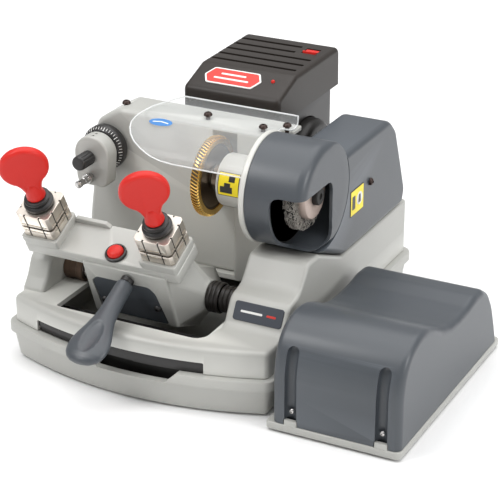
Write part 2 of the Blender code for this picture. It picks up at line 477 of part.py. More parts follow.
# ---- start button and lever ----
BUTTON = (-99.0, -18.0)
boolean(body, cylinder("Z", BUTTON, 8.4, 49, 60, 32))
ring("button_bezel", 10, 8.2, PLATE_TOP + GAP, PLATE_TOP + 3.4, BLACK, (*BUTTON, 0), "Z", CARRIAGE)
turned("start_button", [(0, 64), (4, 63.8), (6.6, 62.8), (7.5, 61.2), (7.5, 52.6), (0, 52.6)], RED,
       (*BUTTON, 0), "Z", CARRIAGE)
turned("lever_collar", [(0, 36), (5.4, 36), (6.2, 35.2), (6.2, 31.2), (0, 31.2)], BLACK,
       (LEVER_X, 0, LEVER_Z), "-Y", CARRIAGE, steps=24)
LEVER_STATIONS = [(36.3, 7.0, 7.0), (38, 7.6, 7.6), (52, 8.0, 7.8), (68, 8.8, 7.4), (80, 10.6, 6.8),
                  (90, 14.2, 6.6), (98, 17.6, 6.8), (106, 19.4, 7.0), (114, 19.2, 6.8), (120, 16.8, 6.0),
                  (124, 12.6, 4.6), (126, 7.0, 2.6)]
lever_mesh = bmesh.new()
LEVER_SIDES = 24
rings = []
for reach, half_width, half_height in LEVER_STATIONS:
    rings.append([lever_mesh.verts.new((LEVER_X + half_width * math.cos(2 * math.pi * k / LEVER_SIDES), -reach,
                                        LEVER_Z + half_height * math.sin(2 * math.pi * k / LEVER_SIDES)))
                  for k in range(LEVER_SIDES)])
for near, far in zip(rings, rings[1:]):
    for k in range(LEVER_SIDES):
        n = (k + 1) % LEVER_SIDES
        lever_mesh.faces.new((near[k], near[n], far[n], far[k]))
lever_mesh.faces.new(rings[0])
lever_mesh.faces.new(list(reversed(rings[-1])))
bmesh.ops.recalc_face_normals(lever_mesh, faces=lever_mesh.faces)
lever = add("lever_grip", lever_mesh, DARK_GREY, CARRIAGE, smooth=True)
dish = bmesh.new()
bmesh.ops.create_uvsphere(dish, u_segments=20, v_segments=10, radius=1)
bmesh.ops.scale(dish, vec=(7.5, 17, 4), verts=dish.verts)
bmesh.ops.translate(dish, vec=(LEVER_X + 1, -99, LEVER_Z + 8), verts=dish.verts)
boolean(lever, dish)


# ---- four-sided clamps ----
def jaw_outline(x):
    """Square jaw plan with clipped corners and two narrow key grooves in each side."""
    half, clip, slot, width, depth = JAW_SIDE / 2, 3.0, 7.5, 0.8, 1.6
    side = [(-half + clip, -half), (-slot - width, -half), (-slot - width, -half + depth),
            (-slot + width, -half + depth), (-slot + width, -half), (slot - width, -half),
            (slot - width, -half + depth), (slot + width, -half + depth), (slot + width, -half),
            (half - clip, -half)]
    points = []
    for quarter in range(4):
        c, s = (1, 0, -1, 0)[quarter], (0, 1, 0, -1)[quarter]
        points += [(x + c * u - s * v, CLAMP_Y + s * u + c * v) for u, v in side]
    return points


for side, x, yaw in (("left", CLAMP_X[0], 34), ("right", CLAMP_X[1], 30)):
    axis = (x, CLAMP_Y)
    boolean(body, cylinder("Z", axis, 5 + GAP, 50, 70, 24))
    base = add(f"clamp_base_{side}", prism("Z", jaw_outline(x), SEAT_TOP + GAP, 76.8), NICKEL, CARRIAGE,
               (*axis, 0))
    boolean(base, cylinder("Z", axis, 5, 52, 111, 24), "UNION")
    jaw = add(f"clamp_jaw_{side}", prism("Z", jaw_outline(x), 79.0, 93.2), NICKEL, CARRIAGE, (*axis, 0))
    boolean(jaw, cylinder("Z", axis, 5 + GAP, 70, 100, 24))
    turned(f"clamp_collar_{side}", [(5.3, 103.6), (10.8, 103.6), (11.8, 102.6), (11.8, 99.8), (10.6, 99.2),
           (10.6, 98.4), (12.8, 98), (13.5, 97.2), (13.5, 94.4), (12.6, 93.5), (5.3, 93.5)], BLACK,
           (*axis, 0), "Z", CARRIAGE)
    wing = [(x + u, z) for u, z in [(-8, 107), (8, 107), (8.4, 114), (10.5, 119.5)]
            + arc(0, 141, 21.8, -54, 234, 26) + [(-10.5, 119.5), (-8.4, 114)]]
    knob = bevel(add(f"clamp_knob_{side}", prism("Y", wing, CLAMP_Y - 4.6, CLAMP_Y + 4.6), RED, CARRIAGE,
                     (*axis, 0)), 3.0, 3, 60)
    knob.rotation_euler = (0, 0, math.radians(yaw))
    boolean(knob, cylinder("Z", axis, 8.8, 103.9, 118, 28, 7.0), "UNION")
    boolean(knob, cylinder("Z", axis, 5 + GAP, 100, 113, 24))
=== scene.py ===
# Key duplicating machine: the fine surfaces, materials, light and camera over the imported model.
# Lengths in the shape functions are millimetres in the machine's datum; place() takes them to the frame.
import json
import math

import bmesh
import bpy
import numpy as np
from mathutils import Matrix, Vector


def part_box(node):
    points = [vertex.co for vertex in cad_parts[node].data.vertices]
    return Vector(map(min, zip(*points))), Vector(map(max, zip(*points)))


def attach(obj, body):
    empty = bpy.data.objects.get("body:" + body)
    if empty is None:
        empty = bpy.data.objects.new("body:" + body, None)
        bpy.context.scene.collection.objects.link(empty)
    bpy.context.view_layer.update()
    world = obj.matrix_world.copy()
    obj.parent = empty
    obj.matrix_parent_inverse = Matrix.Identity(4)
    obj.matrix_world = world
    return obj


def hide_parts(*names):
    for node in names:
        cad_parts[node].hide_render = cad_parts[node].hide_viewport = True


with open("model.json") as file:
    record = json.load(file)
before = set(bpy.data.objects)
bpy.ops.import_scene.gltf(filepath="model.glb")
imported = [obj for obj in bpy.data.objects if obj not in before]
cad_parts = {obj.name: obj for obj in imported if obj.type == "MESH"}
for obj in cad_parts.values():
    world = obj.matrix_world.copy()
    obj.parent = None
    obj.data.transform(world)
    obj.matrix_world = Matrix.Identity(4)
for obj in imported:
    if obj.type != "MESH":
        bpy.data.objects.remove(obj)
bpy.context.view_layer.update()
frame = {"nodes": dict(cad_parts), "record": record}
joints = {joint["name"]: joint for joint in frame["record"]["behaviour"]["joints"]}

trayLow, trayHigh = (np.array(corner) * 1000 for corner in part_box("base_tray"))
datum = np.array([trayLow[0] + 203.0, trayHigh[1] - 216.0, 0.0])  # datum's place in the frame, mm
tiltAngle = math.radians(27)
shaftY = joints["carriage_rock"]["pos_m"][1] * 1000 - datum[1]
shaftZ = joints["carriage_rock"]["pos_m"][2] * 1000
spindleY = joints["spindle_spin"]["pos_m"][1] * 1000 - datum[1]
spindleZ = joints["spindle_spin"]["pos_m"][2] * 1000


# Materials.
# Node group: noise varies a colour and its roughness, and makes a fine bump; pointiness makes convex edges
# lighter.
def surfaceToneGroup():
    group = bpy.data.node_groups.new("surfaceVariation", "ShaderNodeTree")
    face = group.interface
    for name, kind, value in (("Color", "NodeSocketColor", (0.5, 0.5, 0.5, 1)),
                              ("Roughness", "NodeSocketFloat", 0.4),
                              ("Grain", "NodeSocketFloat", 900.0), ("Relief", "NodeSocketFloat", 0.1),
                              ("Variation", "NodeSocketFloat", 0.06), ("Edge", "NodeSocketFloat", 0.15)):
        face.new_socket(name, in_out="INPUT", socket_type=kind).default_value = value
    face.new_socket("Color", in_out="OUTPUT", socket_type="NodeSocketColor")
    face.new_socket("Roughness", in_out="OUTPUT", socket_type="NodeSocketFloat")
    face.new_socket("Normal", in_out="OUTPUT", socket_type="NodeSocketVector")
    nodes, links = group.nodes, group.links
    inputs, outputs = nodes.new("NodeGroupInput"), nodes.new("NodeGroupOutput")
    coords = nodes.new("ShaderNodeTexCoord")
    broad, fine = nodes.new("ShaderNodeTexNoise"), nodes.new("ShaderNodeTexNoise")
    broad.inputs["Scale"].default_value = 18
    broad.inputs["Detail"].default_value = 4
    fine.inputs["Detail"].default_value = 2
    links.new(coords.outputs["Object"], broad.inputs["Vector"])
    links.new(coords.outputs["Object"], fine.inputs["Vector"])
    links.new(inputs.outputs["Grain"], fine.inputs["Scale"])

    def calc(operation, a, b):
        node = nodes.new("ShaderNodeMath")
        node.operation = operation
        for socket, value in zip(node.inputs, (a, b)):
            if isinstance(value, (int, float)):
                socket.default_value = value
            else:
                links.new(value, socket)
        return node.outputs[0]

    spread = calc("MULTIPLY", calc("SUBTRACT", broad.outputs["Fac"], 0.5), inputs.outputs["Variation"])
    point = nodes.new("ShaderNodeNewGeometry").outputs["Pointiness"]
    # Lighter on convex edges: pointiness above 0.53, scaled by Edge.
    edge = calc("MULTIPLY", calc("MAXIMUM", calc("MULTIPLY", calc("SUBTRACT", point, 0.53), 6.0), 0.0),
                inputs.outputs["Edge"])
    value = calc("ADD", calc("ADD", 1.0, calc("MULTIPLY", spread, 2.0)), edge)
    hsv = nodes.new("ShaderNodeHueSaturation")
    links.new(inputs.outputs["Color"], hsv.inputs["Color"])
    links.new(value, hsv.inputs["Value"])
    links.new(hsv.outputs["Color"], outputs.inputs["Color"])
    links.new(calc("ADD", inputs.outputs["Roughness"], spread), outputs.inputs["Roughness"])
    bump = nodes.new("ShaderNodeBump")
    bump.inputs["Distance"].default_value = 0.0002
    links.new(inputs.outputs["Relief"], bump.inputs["Strength"])
    links.new(fine.outputs["Fac"], bump.inputs["Height"])
    links.new(bump.outputs["Normal"], outputs.inputs["Normal"])
    return group


variation = surfaceToneGroup()


# Principled material whose colour, roughness and normal come from the shared variation group.
def finish(name, colour, roughness=0.4, metallic=0.0, grain=900, relief=0.1, spread=0.06, edge=0.15, coat=0.0,
           alpha=1.0, specular=0.5):
    material = bpy.data.materials.new(name)
    material.use_nodes = True
    nodes, links = material.node_tree.nodes, material.node_tree.links
    shader = nodes["Principled BSDF"]
    group = nodes.new("ShaderNodeGroup")
    group.node_tree = variation
    group.inputs["Color"].default_value = (*colour, 1)
    for key, value in (("Roughness", roughness), ("Grain", grain), ("Relief", relief), ("Variation", spread),
                       ("Edge", edge)):
        group.inputs[key].default_value = value
    links.new(group.outputs["Color"], shader.inputs["Base Color"])
    links.new(group.outputs["Roughness"], shader.inputs["Roughness"])
    links.new(group.outputs["Normal"], shader.inputs["Normal"])
    shader.inputs["Metallic"].default_value = metallic
    shader.inputs["Coat Weight"].default_value = coat
    shader.inputs["Coat Roughness"].default_value = 0.15
    shader.inputs["Specular IOR Level"].default_value = specular
    shader.inputs["Alpha"].default_value = alpha
    return material


looks = {
    "base_paint": finish("lightPaint", (0.42, 0.42, 0.395), 0.40, relief=0.08, coat=0.08),
    "frame_paint": finish("framePaint", (0.42, 0.42, 0.395), 0.36, relief=0.06, coat=0.12),
    "dark_plastic": finish("slatePlastic", (0.062, 0.070, 0.080), 0.36, relief=0.25, grain=1500, edge=0.3),
    "black_plastic": finish("blackPlastic", (0.018, 0.017, 0.017), 0.36, relief=0.15),
    "hood_plastic": finish("hoodPlastic", (0.024, 0.019, 0.016), 0.40, specular=0.35, relief=0.3, grain=1300,
                           edge=0.4),
    "motor_shell": finish("motorPaint", (0.013, 0.012, 0.011), 0.38, relief=0.2, specular=0.35),
    "red_plastic": finish("redPlastic", (0.60, 0.020, 0.014), 0.38, relief=0.08, coat=0.0, spread=0.04,
                          specular=0.3),
    "steel": finish("turnedSteel", (0.52, 0.51, 0.50), 0.24, 1.0, relief=0.12, grain=2200),
    "nickel": finish("nickelSteel", (0.62, 0.57, 0.51), 0.40, 1.0, relief=0.2, grain=1600, edge=0.3),
    "cutter_gold": finish("goldCoat", (0.78, 0.50, 0.14), 0.26, 1.0, relief=0.15, grain=2500),
    "rubber": finish("darkRubber", (0.018, 0.015, 0.013), 0.42, relief=0.3),
    "brush_wire": finish("brushWire", (0.46, 0.43, 0.39), 0.42, 0.5, spread=0.4),
    "circuit_green": finish("solderResist", (0.03, 0.20, 0.08), 0.4),
    "sleeve_brown": finish("bronzeSleeve", (0.13, 0.085, 0.06), 0.36, 0.6),
    "label_dark": finish("plateDark", (0.045, 0.052, 0.066), 0.35, relief=0.05),
    "dark_screw": finish("brownedSteel", (0.036, 0.019, 0.015), 0.34, 0.4),
    "clear_sheet": finish("clearSheet", (0.86, 0.89, 0.90), 0.12, 0.0, relief=0.0, spread=0.02, edge=0.0,
                          alpha=0.11, specular=0.5),
}
extra = {
    "yellow": finish("stickerYellow", (0.84, 0.68, 0.02), 0.4, relief=0.02, spread=0.03),
    "ink": finish("stickerInk", (0.02, 0.02, 0.02), 0.4, relief=0.02),
    "badgeRed": finish("badgeRed", (0.58, 0.03, 0.02), 0.4, relief=0.05, spread=0.03),
    "pale": finish("palePrint", (0.75, 0.75, 0.73), 0.4, relief=0.02, spread=0.03),
    "blue": finish("bluePrint", (0.05, 0.20, 0.50), 0.4, relief=0.02, spread=0.03),
    "hub": finish("brushHub", (0.50, 0.40, 0.35), 0.40, 0.3),
    "cutterFace": finish("cutterFace", (0.20, 0.15, 0.10), 0.28, 1.0, grain=2500, relief=0.2),
    "clearRim": finish("clearRim", (0.90, 0.92, 0.92), 0.15, relief=0.0, spread=0.02, edge=0.0, alpha=0.55),
    # Dark brown painted shade for the cutter's tooth gullets.
    "gulletShade": finish("gulletShade", (0.06, 0.04, 0.02), 0.5, relief=0.1),
    # Near-black painted shade, set in pits, slots, recesses and inside the drum where only shade falls.
    "hollow": finish("hollowShade", (0.012, 0.011, 0.010), 0.6, relief=0.1),
}
for sub in frame["record"]["subparts"]:
    node = frame["nodes"][sub["node"]]
    node.data.materials.clear()
    node.data.materials.append(looks[sub["material_slot"]])
slotOf = {sub["node"]: sub["material_slot"] for sub in frame["record"]["subparts"]}
bodyOf = {name: body for body, names in frame["record"]["behaviour"]["bodies"].items() for name in names}
print("stage: materials")


# Surface functions.
# Millimetres in the machine datum to metres in the frame.
def place(points):
    return (np.asarray(points, float) + datum) * 0.001


# Carriage coordinates (origin on the shaft, leaning back) to the machine datum: a turn about X.
def tilted(points):
    x, y, z = np.asarray(points, float).T
    c, s = math.cos(tiltAngle), math.sin(tiltAngle)
    return np.stack([x, shaftY + y * c - z * s, shaftZ + y * s + z * c], 1)


def straight(points):
    return points


# Front panel coordinates: leaned a little from the carriage's own.
def panelFrame(points):
    x, y, z = np.asarray(points, float).T
    c, s = math.cos(math.radians(-6.8)), math.sin(math.radians(-6.8))
    return tilted(np.stack([x, -29 + y * c - z * s, 50 + y * s + z * c], 1))


def meshFrom(name, points, faces, smooth=35):
    mesh = bpy.data.meshes.new(name)
    mesh.from_pydata(np.asarray(points).tolist(), [], [tuple(int(i) for i in face) for face in faces])
    work = bmesh.new()
    work.from_mesh(mesh)
    bmesh.ops.recalc_face_normals(work, faces=work.faces)
    work.to_mesh(mesh)
    work.free()
    mesh.shade_smooth()
    mesh.set_sharp_from_angle(angle=math.radians(smooth))
    obj = bpy.data.objects.new(name, mesh)
    bpy.context.scene.collection.objects.link(obj)
    return obj


# Quads between neighbouring rings of equal length, as whole index arrays.
def ringFaces(rings, count, closed=True):
    i = np.arange(rings - 1)[:, None] * count
    k = np.arange(count if closed else count - 1)[None, :]
    n = (k + 1) % count
    return np.stack([i + k, i + n, i + count + n, i + count + k], -1).reshape(-1, 4)


# Closed skin over a list of equal rings, with flat ends.
def stack(name, rings, caps=True, smooth=35):
    rings = np.asarray(rings, float)
    count = rings.shape[1]
    faces = [list(face) for face in ringFaces(len(rings), count)]
    if caps:
        faces += [list(range(count)), list(range((len(rings) - 1) * count, len(rings) * count))[::-1]]
    return meshFrom(name, place(rings.reshape(-1, 3)), faces, smooth)


# Closed polygon with a radius at each corner. at(margin) moves every side inwards by the margin; outer corner
# radii shrink and hollow ones grow.
class Outline:

    def __init__(self, corners, radius=0.0, steps=5):
        self.corners = np.asarray(corners, float)
        self.radii = np.array(np.broadcast_to(radius, len(self.corners)), float)
        self.steps = steps

    def at(self, margin=0.0):
        corners = self.corners
        nextOne = np.roll(corners, -1, 0)
        sign = np.sign(np.sum(corners[:, 0] * nextOne[:, 1] - nextOne[:, 0] * corners[:, 1]))
        side = nextOne - corners
        side /= np.linalg.norm(side, axis=1)[:, None]
        normal = np.stack([-side[:, 1], side[:, 0]], 1) * sign
        before = np.roll(normal, 1, 0)
        sideBefore = np.roll(side, 1, 0)
        turn = (sideBefore[:, 0] * side[:, 1] - sideBefore[:, 1] * side[:, 0]) * sign
        moved = corners + margin * (before + normal) / (1 + np.sum(before * normal, 1))[:, None]
        radii = np.where(turn > 0, np.maximum(self.radii - margin, 0.04), self.radii + margin)
        points = []
        for i, corner in enumerate(moved):
            if self.radii[i] <= 0:
                points.append(corner)
                continue
            back, ahead = moved[i - 1] - corner, moved[(i + 1) % len(moved)] - corner
            la, lb = np.linalg.norm(back), np.linalg.norm(ahead)
            a, b = back / la, ahead / lb
            half = math.acos(max(-1, min(1, float(a @ b)))) / 2
            reach = min(radii[i] / math.tan(half), la * 0.48, lb * 0.48)
            r = reach * math.tan(half)
            bisector = (a + b) / (np.linalg.norm(a + b) + 1e-12)
            centre = corner + bisector * r / math.sin(half)
            start, end = corner + a * reach - centre, corner + b * reach - centre
            swing = math.atan2(start[0] * end[1] - start[1] * end[0], float(start @ end))
            for t in np.linspace(0, swing, self.steps + 1):
                c, s = math.cos(t), math.sin(t)
                points.append(centre + (start[0] * c - start[1] * s, start[0] * s + start[1] * c))
        return np.array(points)


def rounded(corners, radius, steps=5):
    return Outline(corners, radius, steps)


# Plane outline to 3-D at a level along X, Y or Z.
def lay(outline, level, axis):
    a, b = outline.T
    flat = np.full(len(outline), float(level))
    return np.stack({"X": (flat, a, b), "Y": (a, flat, b), "Z": (a, b, flat)}[axis], 1)


# Outline carried along an axis with quarter-round edges: inset r(1 - cos t) at depth r(1 - sin t).
def slab(name, outline, low, high, axis, edge=1.0, steps=4, turn=straight, smooth=35):
    if not isinstance(outline, Outline):
        outline = Outline(outline)
    rings = []
    angles = np.linspace(0, math.pi / 2, steps + 1)
    rings.append(lay(outline.at(edge * 1.03), low, axis))
    for t in angles[::-1]:
        rings.append(lay(outline.at(edge * (1 - math.cos(t))), low + edge * (1 - math.sin(t)), axis))
    for t in angles:
        rings.append(lay(outline.at(edge * (1 - math.cos(t))), high - edge * (1 - math.sin(t)), axis))
    rings.append(lay(outline.at(edge * 1.03), high, axis))
    return stack(name, [turn(ring) for ring in rings], smooth=smooth)


def block(name, x0, x1, y0, y1, z0, z1, edge=0.6, corner=1.5, turn=straight):
    return slab(name, rounded([(x0, y0), (x1, y0), (x1, y1), (x0, y1)], corner, 4), z0, z1, "Z", edge, 3, turn)


# Profile of (radius, distance) turned about an axis: (r cos t, r sin t) at each distance.
def lathe(name, profile, centre, axis="X", segments=72, turn=straight, smooth=35):
    profile = np.asarray(profile, float)
    t = np.linspace(0, 2 * math.pi, segments, endpoint=False)
    u, v = np.cos(t), np.sin(t)
    rings = []
    for r, h in profile:
        r = max(r, 1e-4)
        flat = np.full(segments, h)
        rings.append(np.stack({"X": (flat, r * u, r * v), "Y": (r * u, flat, r * v),
                               "Z": (r * u, r * v, flat)}[axis], 1) + centre)
    return stack(name, [turn(ring) for ring in rings], smooth=smooth)


# Boolean worked out at once; the tool is then removed.
def combine(obj, tool, operation="DIFFERENCE"):
    mod = obj.modifiers.new("cut", "BOOLEAN")
    mod.object, mod.operation, mod.solver = tool, operation, "EXACT"
    view = bpy.context.evaluated_depsgraph_get()
    made = bpy.data.meshes.new_from_object(obj.evaluated_get(view))
    if len(made.polygons) < 6:
        print("empty cut on", obj.name)
    obj.modifiers.clear()
    old = obj.data
    obj.data = made
    bpy.data.meshes.remove(old)
    bpy.data.objects.remove(tool, do_unlink=True)
    return obj


# Rounds what the cuts left sharp.
def soften(obj, width=0.8, segments=3, angle=32):
    mod = obj.modifiers.new("edges", "BEVEL")
    mod.width, mod.segments, mod.limit_method = width * 0.001, segments, "ANGLE"
    mod.angle_limit = math.radians(angle)
    mod.harden_normals = False
    mod.use_clamp_overlap = True
    obj.data.shade_smooth()
    obj.data.set_sharp_from_angle(angle=math.radians(40))
    return obj


# Material, body and the CAD nodes that the piece stands for.
def wear(obj, node=None, look=None, body=None, also=()):
    obj.data.materials.clear()
    obj.data.materials.append(look or looks[slotOf[node]])
    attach(obj, body or bodyOf[node])
    if node and not also and look is None or node and obj.name.startswith(node):
        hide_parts(node, *also)
    return obj


def arc(cu, cv, radius, start, end, steps):
    t = np.radians(np.linspace(start, end, steps + 1))
    return np.stack([cu + radius * np.cos(t), cv + radius * np.sin(t)], 1)


def cutX(obj, cy, cz, radius, x0, x1):
    return combine(obj, lathe("tool", [(radius, x1), (radius, x0)], (0, cy, cz), "X"))


# Base.
# Front an arc of 335 mm about (-69, 209), met by tangent corners of 12 mm; straight sides and back.
def baseOutline(margin):
    corner, back = 12.0 - margin, 204.0
    frontY = 209.0 - math.sqrt(323.0 ** 2 - 122.0 ** 2)
    swing = math.degrees(math.atan2(122.0, math.sqrt(323.0 ** 2 - 122.0 ** 2)))
    return np.vstack([arc(-191, frontY, corner, 180, 270 - swing, 8),
                     arc(-69, 209, 335.0 - margin, 270 - swing, 270 + swing, 60)[1:-1],
                     arc(53, frontY, corner, 270 + swing, 360, 8), arc(53, back, corner, 0, 90, 8),
                     arc(-191, back, corner, 90, 180, 8)])


# Profile of (margin, height) carried round the base outline.
def carried(name, profile, smooth=35):
    return stack(name, [lay(baseOutline(margin), z, "Z") for margin, z in profile], smooth=smooth)


trayShape = {
    "profile": [(8.6, 2.3), (8.1, 2.5), (7.8, 3.2), (3.7, 25.6), (3.4, 26.4), (0.9, 27.0), (0.2, 27.6),
                (0, 28.4), (0, 35.0), (0.5, 36.4), (1.6, 37.0), (8.6, 37.0), (9, 36.6), (9, 34.6), (6.4, 34.3),
                (10.5, 5.2), (11, 5)],
    "notch": [(-93, 27.6), (-26, 27.6), (-11, 42), (-106, 42)],
    "edge": 0.5,
}
tray = carried("base_tray_skin", trayShape["profile"])
notch = slab("tool", rounded(trayShape["notch"], 1.5), -140, -100, "Y", 0.1, 1)
combine(tray, notch)
wear(soften(tray, trayShape["edge"], 2), "base_tray")
wear(block("tray_shade", -125, 5, -108, -107, 6, 36, 0.2, 0.3), None, extra["hollow"], "machine")

casingShape = {
    "profile": [(10.4, 37.4), (6.4, 37.3), (6, 37.7), (6, 56.8), (6.25, 58.6), (7.0, 60.2), (8.2, 61.3),
                (9.8, 61.9), (11.4, 62), (11.8, 62)],
    "wing": [(-88, 48), (-84, 59), (-63, 63.5), (-50, 86), (-30, 90.4), (-13, 112), (8, 112.6), (58, 91),
             (209, 91), (209, 48)],
    "wingRadii": [0, 8, 10, 14, 18, 9, 9, 6, 3, 0],
    "post": [(-86, 46), (-80, 64), (-73, 73), (-66, 88), (-57, 97), (-40, 101), (-20, 98), (-8, 88), (-1, 72),
             (5, 46)],
    "postRadii": [0, 6, 12, 12, 10, 14, 14, 14, 10, 0],
    "well": [(-151, -97), (-2, -97), (-2, 31), (-151, 31)],
    "wellRadii": [3, 12, 0.5, 0.5],
    "slot": [(-166, 30), (6, 30), (6, 48.2), (-166, 48.2)],
    "edge": 0.7,
}
casing = carried("base_casing_skin", casingShape["profile"])
wingLine = casingShape["wing"]
wing = slab("tool", rounded(wingLine, casingShape["wingRadii"], 8), 0, 58.5, "X", 3.2, 5)
combine(casing, wing, "UNION")
postLine = casingShape["post"]
combine(casing, slab("tool", rounded(postLine, casingShape["postRadii"], 6), -197, -175, "X", 3.0, 4), "UNION")
hollow = carried("tool", [(10, 30), (10, 57.6)])
combine(casing, hollow)
wellBox = slab("tool3", rounded(casingShape["well"], casingShape["wellRadii"], 6), 52, 70, "Z", 0.1, 1)
combine(casing, wellBox)
slot = slab("tool", rounded(casingShape["slot"], 1.2, 3), -145, -102, "Y", 0.1, 1)
combine(casing, slot)
cutX(casing, shaftY, shaftZ, 9.3, -199, -170)
cutX(casing, shaftY, shaftZ, 9.3, -5, 40)
cutX(casing, shaftY, shaftZ, 12.8, -174.9, -148)
cutX(casing, shaftY, shaftZ, 12.5, -8, -0.4)
combine(casing, block("tool", 17.7, 46.3, 196, 218, 65.7, 86.3, 0.1, 1))
wear(soften(casing, casingShape["edge"], 2), "base_casing")
print("stage: base")


def frontLine(left, right, margin, count=40):
    xs = np.linspace(left, right, count)
    return np.stack([xs, -126.0 + 335.0 - np.sqrt((335.0 - margin) ** 2 - (xs + 69.0) ** 2)], 1)


drawerShape = {"ends": (-165.3, 5.3), "low": 37.7, "high": 47.3, "floor": 39.6, "edge": 0.4}
drawer = slab("chip_drawer_skin", np.vstack([frontLine(*drawerShape["ends"], 7.7), [(5.3, -67.2),
              (-165.3, -67.2)]]), drawerShape["low"], drawerShape["high"], "Z", 0.4, 2)
combine(drawer, slab("tool", np.vstack([frontLine(-163, 3, 10.5), [(3, -69.5), (-163, -69.5)]]),
        drawerShape["floor"], 52, "Z", 0.1, 1))
combine(drawer, slab("tool", np.vstack([frontLine(-170, -60, 9), [(-60, -132), (-170, -132)]]), 33, 42, "Z",
        0.1, 1))
wear(soften(drawer, drawerShape["edge"], 2), "chip_drawer", looks["black_plastic"])

# Side unit.
plateShape = {
    "outline": [(66.2, -113.6), (190, -113.6), (190, 124), (66.2, 124)],
    "corner": 4,
    "low": 2.3,
    "high": 9.2,
    "edge": 1.2,
}
plate = slab("side_plate_skin", rounded(plateShape["outline"], plateShape["corner"], 5), plateShape["low"],
             plateShape["high"], "Z", plateShape["edge"], 4)
wear(plate, "side_plate")
coverShape = {
    "outline": [(-112.6, -8), (-113, 58), (-108, 78), (-96, 93), (-76, 99.6), (-58, 99.2), (-40, 92),
                (-22, 82.5), (-4, 77.5), (14, 76), (38, 76.5), (58, 79.2), (76, 78), (92, 68), (103, 52),
                (112, 30), (119, 9.6), (121, -8)],
    "radii": [0.3, 60, 40, 40, 40, 60, 60, 60, 50, 60, 60, 40, 18, 20, 40, 60, 60, 0.3],
    "left": 72,
    "right": 189.3,
    "edge": 6.5,
    "hollow": [(-102, 0), (-102, 56), (-86, 82), (-60, 95), (-10, 74), (38, 72), (76, 73), (98, 52), (115, 0)],
}
coverLine = coverShape["outline"]
cover = slab("side_cover_skin", rounded(coverLine, coverShape["radii"], 7), coverShape["left"],
             coverShape["right"], "X", coverShape["edge"], 8)
combine(cover, block("tool", 60, 200, -130, 140, -30, 9.6, 0.1, 0.5))
combine(cover, slab("tool", rounded(coverShape["hollow"], 8, 4), 76, 185, "X", 2, 2))

channelShape = {"radius": 5.6, "top": 76.0, "lean": 0.009}


# Round channel: circles of radius r at rising z, the centre leaning back above z 52, closed by half a sphere.
def channel(x, radius=channelShape["radius"], top=channelShape["top"]):
    heights = np.concatenate([[0.0, 30.0, 52.0], np.linspace(56, top, 7),
                             top + radius * np.sin(np.linspace(0.2, 1.5, 7))])
    t = np.linspace(0, 2 * math.pi, 40, endpoint=False)
    rings = []
    for z in heights:
        r = radius * math.sqrt(max(1 - (max(z - top, 0) / radius) ** 2, 0.0001))
        y = -112.0 + channelShape["lean"] * max(z - 52, 0) ** 2
        rings.append(np.stack([x + r * np.cos(t), y + r * np.sin(t), np.full(40, z)], 1))
    return stack("tool", rings)


for x in (89.5, 172.5):
    combine(cover, channel(x))
    combine(cover, block("tool", x - 6.5, x + 6.5, -130, -106, 0, 14.5, 0.1, 0.5))
    wear(block(f"side_plate_tab_{round(x)}", x - 5.9, x + 5.9, -113.4, -109.4, 8.8, 14.2, 0.5, 1), None,
         looks["base_paint"], "machine")
wear(soften(cover, 1.2, 3, 30), "side_cover")
screwProfile = [(0.01, 3.2), (1.5, 3.2), (2.6, 2.9), (3.6, 1.9), (4.1, 0.4), (3.9, 0), (2, 0), (2, -6),
                (0.01, -6)]


# Button head with a six-sided socket: a turned profile, cut by a hexagon.
def screw(name, node, centre, axis, look, scale=1.0, flip=1, turn=straight, body=None, socket=True):
    head = lathe(name, [(r * scale, flip * h * scale) for r, h in screwProfile], centre, axis, 36, turn)
    if socket:
        hexagon = arc(0, 0, 1.7 * scale, 0, 300, 5)
        deep = sorted((flip * 1.6 * scale, flip * 5 * scale))
        index = "XYZ".index(axis)
        others = [i for i in range(3) if i != index]
        hexagon = hexagon + np.array([centre[others[0]], centre[others[1]]])
        combine(head, slab("tool", hexagon, centre[index] + deep[0], centre[index] + deep[1], axis, 0.02, 1,
                turn))
    soften(head, 0.12, 1, 50)
    if node:
        return wear(head, node, look)
    return wear(head, None, look, body)


for side, x in (("left", 89.5), ("right", 172.5)):
    screw(f"side_cover_screw_{side}_skin", f"side_cover_screw_{side}", (x, -109, 22), "Y", looks["steel"], 0.62,
          -1)
footShape = {
    "profile": [(0.01, 2.0), (7.6, 2.0), (8.6, 1.7), (9.0, 1.0), (8.9, 0.3), (8.3, 0), (6, 0.0), (5.6, 0.5),
                (0.01, 0.5)],
}
for index in range(1, 5):
    low, high = (np.array(c) * 1000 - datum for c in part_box(f"foot_{index}"))
    mid = (low + high) / 2
    foot = lathe(f"foot_{index}_skin", footShape["profile"], (mid[0], mid[1], 0), "Z", 48)
    wear(foot, f"foot_{index}")
print("stage: side unit")

# Frame casting.
castingShape = {
    "outline": [(-196.5, 62.3), (-196, 90), (-192, 120), (-188, 152), (-187, 180), (-183, 190), (-172, 197),
                (-160, 203.5), (-2, 203.5), (-2, 62.3)],
    "radii": [0.3, 60, 60, 60, 12, 12, 14, 14, 3, 0.3],
    "front": 36,
    "back": 78,
    "edge": 4.5,
    "pedestal": [(-36.5, 24), (-3, 24), (-3, 50), (-36.5, 50)],
    "nose": [(0.01, 2), (24, 2), (24, -35.5), (23.5, -36.8), (22.3, -37.5), (0.01, -37.5)],
    "ring": [(0.01, 4), (49.6, 4), (50.5, 3.2), (50.5, 0), (49.6, -1), (0.01, -1)],
    "screwSeats": ((-74, 50), (2.5, 57), (-161, 52)),
}
faceLine = castingShape["outline"]
casting = slab("frame_casting_skin", rounded(faceLine, castingShape["radii"], 6), castingShape["front"],
               castingShape["back"], "Y", castingShape["edge"], 6)
combine(casting, block("tool", -182, -78, 43, 90, 55, 190, 0.1, 1))
combine(casting, block("tool", -70, -8, 64, 90, 55, 195, 0.1, 1))
cutX(casting, spindleY, spindleZ, 41, -62, -37)
pedestal = slab("tool", rounded(castingShape["pedestal"], [6, 1, 1, 1], 6), 62.3, 160, "Z", 0.3, 2)
combine(casting, pedestal, "UNION")
